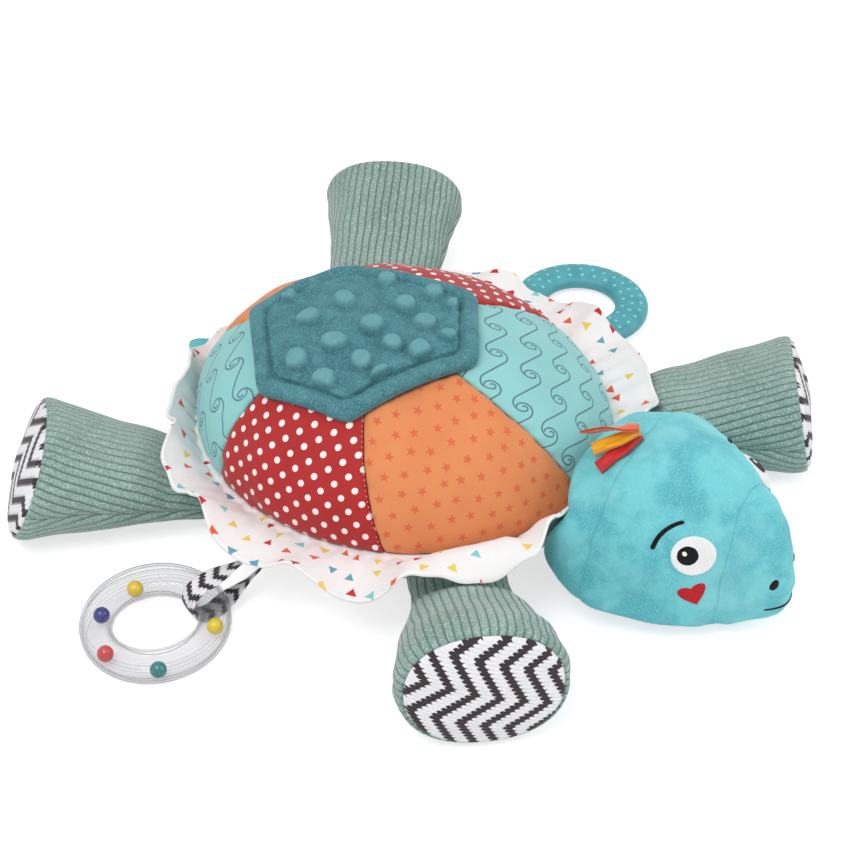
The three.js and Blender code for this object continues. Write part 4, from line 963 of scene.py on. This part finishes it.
def head_sizes(share, depth=0.0):
    crease = 2 * bell((share - (HEAD_MIDDLE - MUZZLE_SEAM) / HEAD_HALF) * HEAD_HALF / 6)
    round_off = np.sqrt(np.maximum(0, 1 - share**2))
    wide = (HEAD_WIDE * (1 - 0.52 * share + 0.15 * share**2) - depth) * round_off - crease
    crown = (HEAD_CROWN * (1 + 0.2 * share + 0.16 * share**2) - depth) * round_off - crease
    waist = HEAD_WAIST - 12 * share * mix(1, 0.5, np.clip(share, 0, 1))
    return wide, crown, (HEAD_CHIN - depth / 2) * round_off, waist


def head_at(share, turn, depth):
    (wide, crown, chin, waist), up = head_sizes(share, depth), np.sin(turn)
    height = waist + np.where(up > 0, crown, chin) * up
    long = HEAD_MIDDLE - (HEAD_HALF - depth) * share
    return joined(wide * np.cos(turn), long, np.maximum(0.6 + depth, height))


def plush_dent(points):
    """How far the stuffed head swells or sinks at a point, in millimetres."""
    hollow = bell((points[..., 1] - MUZZLE_SEAM) / 5) * 0.9
    brow = bell((points[..., 1] - CROWN_SEAM + 6) / 13) * 0.9
    # The far eye lies in a flat that leans towards the top of the head
    off = points - np.array(EYES["left"])
    flat = 0.5 * (off @ np.array([-0.69, -0.33, 0.64])) * bell(np.linalg.norm(off, axis=-1) / 15)
    return soft_waves(points, 46, 90) * 1.5 + soft_waves(points, 19, 91) * 0.45 - hollow + brow - flat


def frill_clear(points, clearance):
    """Moves the points that would lie in the shell or the frill softly out to its surface."""
    x, y, z = np.moveaxis(points, -1, 0)
    radial = 0
    for _ in range(6):
        turn = np.arctan2(y / (SHELL_LONG + radial), x / (SHELL_WIDE + radial))
        radial = x * np.cos(turn) + y * np.sin(turn)
        radial = radial - SHELL_WIDE * np.cos(turn) ** 2 - SHELL_LONG * np.sin(turn) ** 2
    rise, wide, _ = frill_shape(turn / FULL)
    hem_z, hem_out = RIM + np.sin(rise) * wide + 1.5, SEAM_REACH + np.cos(rise) * wide
    foot = np.clip((RIM - z) / RIM, 0, 1)
    below = (FOOT_WIDE - SHELL_WIDE) * (1 - np.sqrt(1 - foot**2)) + SEAM_REACH * smooth((z - BELLY_TOP + 8) / 8)
    beside = SEAM_REACH + (z - RIM) / np.tan(rise)
    above = mix(hem_out, -31, np.clip((z - hem_z) / (RIM + 49.5 - hem_z), 0, 1.6))
    wall = np.where(z < RIM, below, np.where(z < hem_z, beside, above)) + clearance
    soft = 2.2
    step = soft * np.logaddexp(0, (wall - radial) / soft)
    return points + step[..., None] * joined(np.cos(turn), np.sin(turn), 0)


def turned(flat, turn):
    """Flat points turned about the middle."""
    return flat @ np.array([way_at(turn), way_at(turn + math.pi / 2)])


def head_formed(points):
    """From the plain egg to its place: the chin drawn back, the whole turned a little to its right."""
    x, y, z = np.moveaxis(points, -1, 0)
    chin = smooth((MUZZLE_SEAM + 6 - y) / 26) * np.clip((27 - z) / 27, 0, 1) ** 0.8
    flat = turned(joined(x, y + 9 * chin - HEAD_BACK), HEAD_TURN) + np.array([0, HEAD_BACK])
    return np.concatenate([flat, (z + 1.5 * chin)[..., None]], -1)


def on_head(target, out):
    """Where the line from the head's core through a target leaves the head, moved out by a distance."""
    way = unit(np.asarray(target, float) - HEAD_CORE)

    def in_head(far):
        point = HEAD_CORE + way * far[..., None]
        share = (HEAD_MIDDLE - point[..., 1]) / HEAD_HALF
        wide, crown, chin, waist = head_sizes(np.clip(share, -0.9999, 0.9999))
        up = point[..., 2] - waist
        return (np.abs(share) < 1) & (np.hypot(point[..., 0] / wide, up / np.where(up > 0, crown, chin)) < 1)

    low, _ = halved(in_head, np.zeros(way.shape[:-1]), np.full(way.shape[:-1], 140.0), 34)
    bare = HEAD_CORE + way * low[..., None]
    return bare + way * (out + plush_dent(bare))[..., None]


def cover_wall(shares, depth, ends):
    """Rows of a head cover; ends are the shares at which its cloth turns in to a seam. The crown's
    seam is drawn in tight, the muzzle's is lost in the pile."""
    rows, bare = (head_at(shares[:, None], ring_turns(220), deep) for deep in (depth, 0))
    off = np.min([np.abs(shares - end) for end in ends], axis=0)[:, None] * HEAD_HALF
    tight = np.where(shares < 0.5, 0.4, 0.05)[:, None]
    tuck = tight * np.exp(-off / 0.8) + 0.5 * np.exp(-off / 5)
    pucker = soft_waves(bare, 10, 93) * 0.6 * np.exp(-off / 7)
    rows = rows + unit(bare - HEAD_CORE) * (plush_dent(bare) - tuck + pucker)[..., None]
    rows[..., 2] = np.maximum(rows[..., 2], 0.5 + depth)
    return frill_clear(head_formed(rows), 2.2 + depth)


def between(low, high, count):
    return np.sin(np.linspace(math.asin(low), math.asin(high), count))


crown_share, muzzle_share = ((HEAD_MIDDLE - at) / HEAD_HALF for at in (CROWN_SEAM, MUZZLE_SEAM))
gap = 0.02 / HEAD_HALF
for name, shares, ends in (
    ("head_back", between(-0.97, crown_share - gap, 44), (crown_share,)),
    ("head_face", between(crown_share + gap, muzzle_share - gap, 84), (crown_share, muzzle_share)),
    ("muzzle", between(muzzle_share + gap, 0.99999, 64), (muzzle_share,)),
):
    skins = (cover_wall(shares, depth, ends) for depth in (0, CLOTH))
    skins = two_sided(*skins, closed=True, last_edge=name != "muzzle")
    solid(f"{name}_plush", *skins, "head", [f"{name}_cover"], head_plush, slot="head_plush", fill=0.9)
core = stuffed(cover_wall(between(-0.99, 0.99, 60), CLOTH + 2.6, (crown_share, muzzle_share)))
solid("head_fill", *core, "head", ["head_stuffing"], fibre, slot="stuffing", fill=0.9)

# ------------------------------------------------------------------------------
# Face: embroidered in rayon thread. White eye discs, black pupils with a white glint, a short
# brow, a red heart on each cheek, two nostrils and one line for the smile. All lie in the pile.
PATCH_THICK, SUNK = 0.9, -0.25


def face_frame(target):
    """The flat frame that touches the head near a target: forward along the head and up its side."""
    centre, ahead, above = (on_head(np.add(target, off), 0) for off in ((0, 0, 0), (0, -1.4, 0), (0, 0, 1.4)))
    normal = unit(np.cross(ahead - centre, above - centre))
    up = unit(np.array([0, 0, 1]) - normal * normal[2])
    forward = np.array([0, -1, 0]) + normal * normal[1]
    return centre, unit(forward - up * forward.dot(up)), up


def satin_stitch(name, colour, light, lie=0.0, **fixed):
    """Embroidery: thread laid side by side, each strand round, its tone differing at random, with a painted
    highlight along its crown and painted shade where it meets the next.
    """
    thread = Finish(name, Roughness=0.5, Sheen_Weight=0.04, **fixed)
    x, y, _ = thread.cut()
    across = (x * math.cos(lie) + y * math.sin(lie)) / 0.42
    ridge = abs(across.fract() - 0.5) * 2
    # Painted highlight along each strand's crown, painted shade between strands, over a tone that differs at
    # random
    thread.tint(thread.chance(across.floor(), 2.5) * 0.6 + ridge * 0.35, light, colour)
    return thread.bump(1 - ridge * ridge, 0.0001)


THREADS = {
    "eye_white": satin_stitch("white_embroidery", (240, 240, 243), (253, 253, 253), 0.3),
    "black_thread": satin_stitch("black_embroidery", (8, 7, 9), (26, 24, 27), Specular_IOR_Level=0.12),
    "red_thread": satin_stitch("red_embroidery", (168, 6, 20), (212, 16, 32), 0.9, Specular_IOR_Level=0.25),
}


def sewn(name, node, target, lift, cut, thread, out=SUNK, closed=False):
    """A pad of thread on the head where the lines from its core through a grid of targets meet it."""
    skins = (head_formed(on_head(target, out + rise)) for rise in (lift, 0))
    solid(name, *two_sided(*skins, closed, not closed), "head", node, THREADS[thread], [cut, cut], thread)


def in_frame(frame_at, flat):
    centre, forward, up = frame_at
    return centre + flat[..., :1] * forward + flat[..., 1:] * up


def embroidered(name, node, frame_at, edge, thread, rings, size, out=SUNK, thick=PATCH_THICK):
    """A pad of thread: edge holds its outline as forward and up from the frame's centre."""
    share = np.sin(np.linspace(1, 0, rings) * math.pi / 2)[:, None, None]
    lift = thick * rounded((1 - share[..., 0]) * size / 0.9)
    sewn(name, node, in_frame(frame_at, edge * share), lift, edge * share, thread, out, True)


def ragged_circle(radius_x, radius_y, lean=0.0, seed=0, sides=96):
    wobble = 1 + 0.12 * np.random.default_rng(seed).uniform(-1, 1, sides) / max(radius_x, radius_y)
    return turned(np.array([radius_x, radius_y]) * way_at(ring_turns(sides)) * wobble[:, None], lean)


def cord_lift(aside):
    """The round top of a line of thread across its width, which runs from -1 to 1."""
    return PATCH_THICK * np.sqrt(1.0001 - (0.97 * aside) ** 2)


# The heart and the brow as forward and up from the middle of their frames
turn = ring_turns(96)
heart_tall = 0.95 * np.cos(turn) - 0.36 * np.cos(2 * turn) - 0.14 * np.cos(3 * turn)
heart = turned(joined(7.3 * round_power(np.sin(turn), 3), 5.8 * heart_tall), 0.35)
BROW_FAR, BROW_WIDE = 20.5, 2.7
path, aside = BROW_FAR * way_at(np.linspace(0.96, 0.59, 48) * math.pi), np.linspace(-1, 1, 13)
way, run = unit(np.gradient(path, axis=0)), path_run(path, 0)[:, None]
to_end = (np.minimum(run, run[-1] - run) / (BROW_WIDE / 2)).clip(0, 1)
half = BROW_WIDE / 2 * np.sqrt(1 - (1 - to_end) ** 2 * 0.85)
brow = path[:, None] + joined(-way[:, 1], way[:, 0])[:, None] * (half * aside)[..., None]
brow_cut = joined(run, half * aside)
CHEEKS = {"left": (35.4, -191, 45.8), "right": (-38, -191, 33)}
NOSTRILS = {"left": (8, -214, 38.1), "right": (-9.6, -214, 35)}
ON_EYE = SUNK + PATCH_THICK - 0.3
for end in ("left", "right"):
    centre, forward, up = at_eye = face_frame(EYES[end])
    disc = ragged_circle(11.2, 11.2, seed=3)
    embroidered(f"eye_disc_{end}", [f"eye_white_{end}"], at_eye, disc, "eye_white", 18, 11.4)
    shifted = on_head(centre - 3 * forward, 0), forward, up
    pupil = ragged_circle(5.3, 5.5, seed=5)
    embroidered(f"pupil_thread_{end}", [f"pupil_{end}"], shifted, pupil, "black_thread", 12, 5.4, ON_EYE, 0.55)
    shifted = on_head(centre - 4.6 * forward + 1.1 * up, 0), forward, up
    glint = ragged_circle(1.25, 1.5, 0.5, seed=6, sides=40)
    embroidered(f"eye_glint_{end}", None, shifted, glint, "eye_white", 8, 1.3, ON_EYE + 0.35, 0.4)
    arched = in_frame(at_eye, brow)
    sewn(f"brow_thread_{end}", [f"eyebrow_{end}"], arched, cord_lift(aside), brow_cut, "black_thread")
    cheek, nose = face_frame(CHEEKS[end]), face_frame(NOSTRILS[end])
    embroidered(f"heart_thread_{end}", [f"cheek_heart_{end}"], cheek, heart, "red_thread", 12, 4.5)
    nostril = ragged_circle(3.1, 2.3, 1.05, seed=8, sides=48)
    embroidered(f"nostril_thread_{end}", [f"nostril_{end}"], nose, nostril, "black_thread", 8, 2)

# The smile runs round the front of the muzzle, so it is cast from a line across and not a flat frame
SMILE_HALF, SMILE_FRONT, SMILE_AT = 12, -214, 20.5
aside, across = np.meshgrid(np.linspace(-1, 1, 9), np.linspace(-1, 1, 90))
half = 0.55 * np.sqrt(np.clip(1.0004 - across**2, 0, 1)) ** 0.4
cut = joined(SMILE_HALF * across, half * aside)
target = joined(cut[..., 0], SMILE_FRONT, SMILE_AT + cut[..., 1])
sewn("smile_thread", ["smile"], target, cord_lift(aside), cut, "black_thread")

# ------------------------------------------------------------------------------
# Ribbons: three short loops of satin tape caught in the crown seam, red lowest, then yellow and
# orange. Each is folded double; the orange one stands on edge over the others.
RIBBON_LONG, RIBBON_WIDE, RIBBON_THICK, RIBBON_FOLD, SATIN_HALF = 31, 9, 1.2, 0.45, 0.24
RIBBONS = {
    # how far it points sideways and rises as shares, its twist in degrees, its length, its two dyes
    "red": (-0.8, 0, -15, 1.15, (176, 14, 22), (214, 38, 36)),
    "yellow": (-0.6, 0.1, -12, 1.0, (224, 148, 10), (246, 188, 30)),
    "orange": (-0.42, 0.25, 44, 0.98, (218, 74, 22), (242, 104, 48)),
}


def satin_tape(name, colour, light):
    """Satin ribbon: smooth across, with fine weft lines, a woven edge and a painted sheen in long streaks."""
    satin = Finish(name, Roughness=0.32, Sheen_Weight=0.2, Anisotropic=0.5)
    x, y, _ = satin.cut()
    weft = (x * (math.pi / 0.16)).sin() * 0.5 + 0.5
    selvedge = abs(y).fade(RIBBON_WIDE / 2 - 0.7, RIBBON_WIDE / 2 - 0.5)
    # Lengthwise streaks of the paler dye are a painted sheen
    sheen = satin.grain(1.0, vector=satin.join(x * 0.06, y * 0.25)).fade(0.35, 0.65)
    satin.tint(selvedge * 0.35, satin.blend(sheen, colour, light), colour)
    return satin.bump(weft * 0.3 + selvedge, 0.00012)


path, spread = np.linspace(0, 1, 64)[:, None], np.linspace(-0.5, 0.5, 13) * RIBBON_WIDE
start = np.array([-8, CROWN_SEAM, HEAD_WAIST + HEAD_CROWN])
for rank, (colour, (side_share, lift_share, twist, long_share, *dyes)) in enumerate(RIBBONS.items()):
    way = np.array([side_share, math.sqrt(1 - side_share**2), 0])
    beside = left_of(way)
    # The tape runs out along the top, round the fold and back along the bottom
    room = RIBBON_LONG * long_share - RIBBON_FOLD
    length = 2 * room + math.pi * RIBBON_FOLD
    half_way = room / length
    bend = np.clip((path - half_way) / (1 - 2 * half_way), 0, 1) * math.pi
    along = np.minimum(1, np.minimum(path, 1 - path) / half_way) * room + RIBBON_FOLD * np.sin(bend)
    share = along / RIBBON_LONG
    width = spread * mix(0.45, 1, smooth(share / 0.4))
    turn = math.radians(twist) * smooth(share / 0.5)
    bed = REST_GAP + rank * (2 * RIBBON_THICK + SEAM_GAP) + RIBBON_THICK + lift_share * RIBBON_LONG * share
    bed = bed + (1.6 if colour == "orange" else 0.5) * arch(share)
    layers = []
    for skin in (SATIN_HALF, -SATIN_HALF):
        rise, reach = RIBBON_FOLD * np.cos(bend) + skin * np.cos(bend), along + skin * np.sin(bend)
        aside = width * np.cos(turn) - rise * np.sin(turn)
        target = start + reach[..., None] * way + aside[..., None] * beside
        layers.append(head_formed(on_head(target, bed + width * np.sin(turn) + rise * np.cos(turn))))
    cut = joined(path * length, spread)
    body = f"ribbon_{colour}"
    satin = satin_tape(f"{colour}_satin", *dyes)
    tape = solid(f"{colour}_ribbon_loop", *two_sided(*layers), body, [body], satin, [cut, cut], f"{colour}_satin")

# ------------------------------------------------------------------------------
# Webbing loops: black and white zigzag tape, its two ends sewn into the rim seam under the frill.
# One goes round the rattle ring, the other round the teething ring.
WEBBING_WIDE, WEBBING_THICK, WEBBING_GAP, WEBBING_BURY, WEBBING_ROOT, FLOOR_GAP = 12, 1.1, 1.6, 4, 26, 0.3
RINGS = {
    # how far out and at which turn its centre lies, the turn of the webbing's root, radius, half
    # width and half height
    "rattle": (177, 0.461, 0.489, 29.3, 8.7, 8.7),
    "teether": (171, -0.017, -0.017, 29.6, 9.6, 5),
}
zigzag_tape = zigzag_knit("zigzag_webbing", 7.5, 24, 8.2, 0, 0.46)


def ring_pose(far, turn_share, root_share, radius, half_wide, half_high):
    """The ring's centre, the webbing's root, the axis it tips about and how far, and its near height."""
    near, low = FLOOR_GAP + WEBBING_THICK + WEBBING_GAP + half_high, FLOOR_GAP + half_high
    centre = np.array([*far * way_at(turn_share * FULL), (near + low) / 2])
    root = np.array([*(SHELL_SIZE - WEBBING_BURY) * way_at(root_share * FULL), WEBBING_ROOT])
    way = unit((root - centre) * np.array([1, 1, 0]))
    return centre, root, left_of(way), -math.asin((near - low) / (2 * radius)), near


def ring_at(name, around, out, height):
    """Points of a ring by the turn round it, and how far out of and above its circle they lie."""
    centre, _, axis, tilt, _ = ring_pose(*RINGS[name])
    radius = RINGS[name][3] + out
    flat = joined(radius * np.cos(around), radius * np.sin(around), height)
    return flat @ np.array(Matrix.Rotation(tilt, 3, Vector(axis))).T + centre


for name, (_, _, _, radius, half_wide, half_high) in RINGS.items():
    centre, root, _, _, near = ring_pose(*RINGS[name])
    way = (centre - root) * np.array([1, 1, 0])
    reach, way = np.linalg.norm(way) - radius, unit(way)
    beside = left_of(way)
    # In the plane of its run the tape leaves the seam, wraps the ring's tube and comes back
    wide, tall = (size + WEBBING_GAP + WEBBING_THICK / 2 for size in (half_wide, half_high))
    root_lift = (WEBBING_ROOT - near) * wide / tall
    first, spread = math.atan2(root_lift, -reach), math.acos(wide / math.hypot(root_lift, reach))
    arc = np.linspace(first - spread, first + spread - FULL, 64)
    bend = np.array([reach, near - WEBBING_ROOT]) + np.array([wide, tall]) * way_at(arc)
    out_run = np.linspace((2, WEBBING_THICK), bend[0], 28)
    back_run = np.linspace(bend[-1], (2, -WEBBING_THICK), 28)
    line = np.concatenate([out_run[:-1], bend, back_run[1:]])
    run = path_run(line, 0)[:, None]
    # It bellies a little between the seam and the ring
    share_out = run / run[len(out_run) - 2]
    share_back = (run[-1] - run) / (run[-1] - run[-len(back_run)])
    line[:, 1:] += 1.3 * arch(share_out) - 0.44 * arch(share_back)
    way_on, aside = unit(np.gradient(line, axis=0)), np.linspace(-0.5, 0.5, 15) * WEBBING_WIDE
    # There it is also drawn in and turns on edge
    from_seam = smooth((np.minimum(run, run[-1] - run) - 20) / 26)
    across, on_edge = aside * mix(0.55, 1, from_seam), mix(0.75, 0, from_seam)
    layers = []
    for skin in (0.5, -0.5):
        edge = WEBBING_THICK * skin * np.sqrt(1 - (np.abs(aside) / (WEBBING_WIDE / 2)) ** 8 * 0.8)
        along = line[:, :1] - way_on[:, 1:] * edge
        height = WEBBING_ROOT + line[:, 1:] + way_on[:, :1] * edge + across * np.sin(on_edge)
        points = root + along[..., None] * way + (across * np.cos(on_edge))[..., None] * beside
        points[..., 2] = np.maximum(height, FLOOR_GAP / 2)
        layers.append(points)
    cut = joined(run, aside)
    node = f"{name}_webbing_loop"
    tape = solid(
        f"{name}_tape", *two_sided(*layers), f"{name}_loop", [node], zigzag_tape, [cut, cut], "zigzag_webbing"
    )

# ------------------------------------------------------------------------------
# Rattle ring: a clear hollow ring moulded in two halves, welded at mid height, with fine ridges
# round its outer side. Six loose beads run in its channel.
TUBE_HALF, TUBE_WALL, RIDGE, BEAD_RADIUS = RINGS["rattle"][4], 1.3, 0.22, 4.2
BEADS = {
    "yellow_left": ((250, 214, 20), 0.156), "blue": ((36, 36, 138), 0.286), "red": ((224, 58, 54), 0.436),
    "teal": ((20, 136, 136), 0.603), "yellow_right": ((250, 218, 16), 0.828), "green": ((22, 150, 130), 0.986),
}
# Nearly nothing is seen of it face on; it is grey where a wall or a ridge is seen edge on
clear = Finish("clear_plastic", Roughness=0.06, IOR=1.5, Coat_Weight=1.0, Coat_Roughness=0.02)
facing = clear.node("ShaderNodeLayerWeight", {}, {"Blend": 0.42}, "Facing")
ridge, under, _ = clear.cut()
clear.tint(ridge.fade(0.2, 1.0), (140, 138, 150), (62, 58, 78))
veil = facing.fade(0.3, 1.0, 0.03, 0.68) + ridge.fade(0.3, 1.0, 0.0, 0.34)
clear.set(Alpha=veil + clear.grain(120) * 0.03 + under * 0.1)
around, bend = ring_turns(160)[:, None], np.linspace(0, math.pi, 46)
ridges = np.cos(bend * 30) * smooth((1.15 - bend) / 0.25) * smooth((bend - 0.04) / 0.1)
for half, sign in (("upper", 1), ("lower", -1)):
    walls = []
    for tube in (TUBE_HALF - SEAM_GAP / 2 - RIDGE + RIDGE * ridges, TUBE_HALF - TUBE_WALL):
        height = sign * (tube * np.sin(bend) + SEAM_GAP / 2)
        walls.append(ring_at("rattle", around, tube * np.cos(bend), height))
    section = np.concatenate([walls[0], walls[1][:, ::-1]], 1)
    cut = joined(np.concatenate([ridges, 0 * ridges]) + 0 * around, half == "lower")
    faces = wrapped(*section.shape[:2], ring=True)
    node = f"rattle_ring_{half}"
    solid(f"rattle_half_{half}", section, faces, "rattle_ring", [node], clear, cut, "clear_plastic")

turn, lie = np.meshgrid(ring_turns(40), np.linspace(0, math.pi, 25))
ball = BEAD_RADIUS * joined(np.sin(lie) * np.cos(turn), np.sin(lie) * np.sin(turn), np.cos(lie))
sink = TUBE_HALF - TUBE_WALL - BEAD_RADIUS - SEAM_GAP
for name, (colour, share) in BEADS.items():
    plastic = Finish(f"{name}_bead_plastic", Roughness=0.25, Coat_Weight=0.4)
    cloudy = plastic.grain(500)
    plastic.tint(cloudy, tuple(part * 0.9 for part in colour), colour).bump(cloudy, 0.00004)
    points = ball + ring_at("rattle", share * FULL, 0, -sink)
    body, node, slot = f"bead_{name}", f"rattle_bead_{name}", f"{name.split('_')[0]}_bead"
    solid(f"bead_{name}_ball", points, wrapped(25, 40), body, [node], plastic, slot=slot)

# ------------------------------------------------------------------------------
# Teething ring: one soft moulded band of teal rubber, with rows of small raised dots for the gums.
DOT_RADIUS, DOT_PITCH, DOT_RISE = 1.25, 7.2, 0.5
around, bend = ring_turns(520)[:, None], ring_turns(96)
radius, half_band, half_high = RINGS["teether"][3:]
out, height = half_band * round_power(np.cos(bend), 0.8), half_high * round_power(np.sin(bend), 0.8)
raised = np.zeros((len(around), len(bend)))
for row, row_out in enumerate((-5.2, 0, 5.2)):
    step = FULL / round(FULL * (radius + row_out) / DOT_PITCH)
    off = (np.mod(around + row * step / 2, step) - step / 2) * (radius + row_out)
    raised = np.maximum(raised, np.sqrt(np.clip(1 - (off**2 + (out - row_out) ** 2) / DOT_RADIUS**2, 0, 1)))
raised = raised * (np.abs(np.sin(bend)) > 0.3)
section = ring_at("teether", around, out, (height + DOT_RISE * raised * np.sign(np.sin(bend))) * 0.97)
rubber = Finish("teether_rubber")
bloom = rubber.grain(90, 3.0)
band = rubber.blend(bloom.fade(0.3, 0.7), (66, 150, 160), (84, 166, 176))
rubber.tint(rubber.cut()[0].fade(0.1, 0.7), band, (112, 208, 216))
rubber.set(Roughness=bloom.fade(0.3, 0.7, 0.42, 0.56)).bump(rubber.grain(900), 0.00006)
faces, slot = wrapped(*raised.shape, ring=True), "teether_rubber"
solid("teething_band", section, faces, "teether_ring", ["teething_ring"], rubber, raised[..., None], slot)

size = {"cad": [list(corner) for corner in cad_box], "visual": [list(corner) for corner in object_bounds()]}
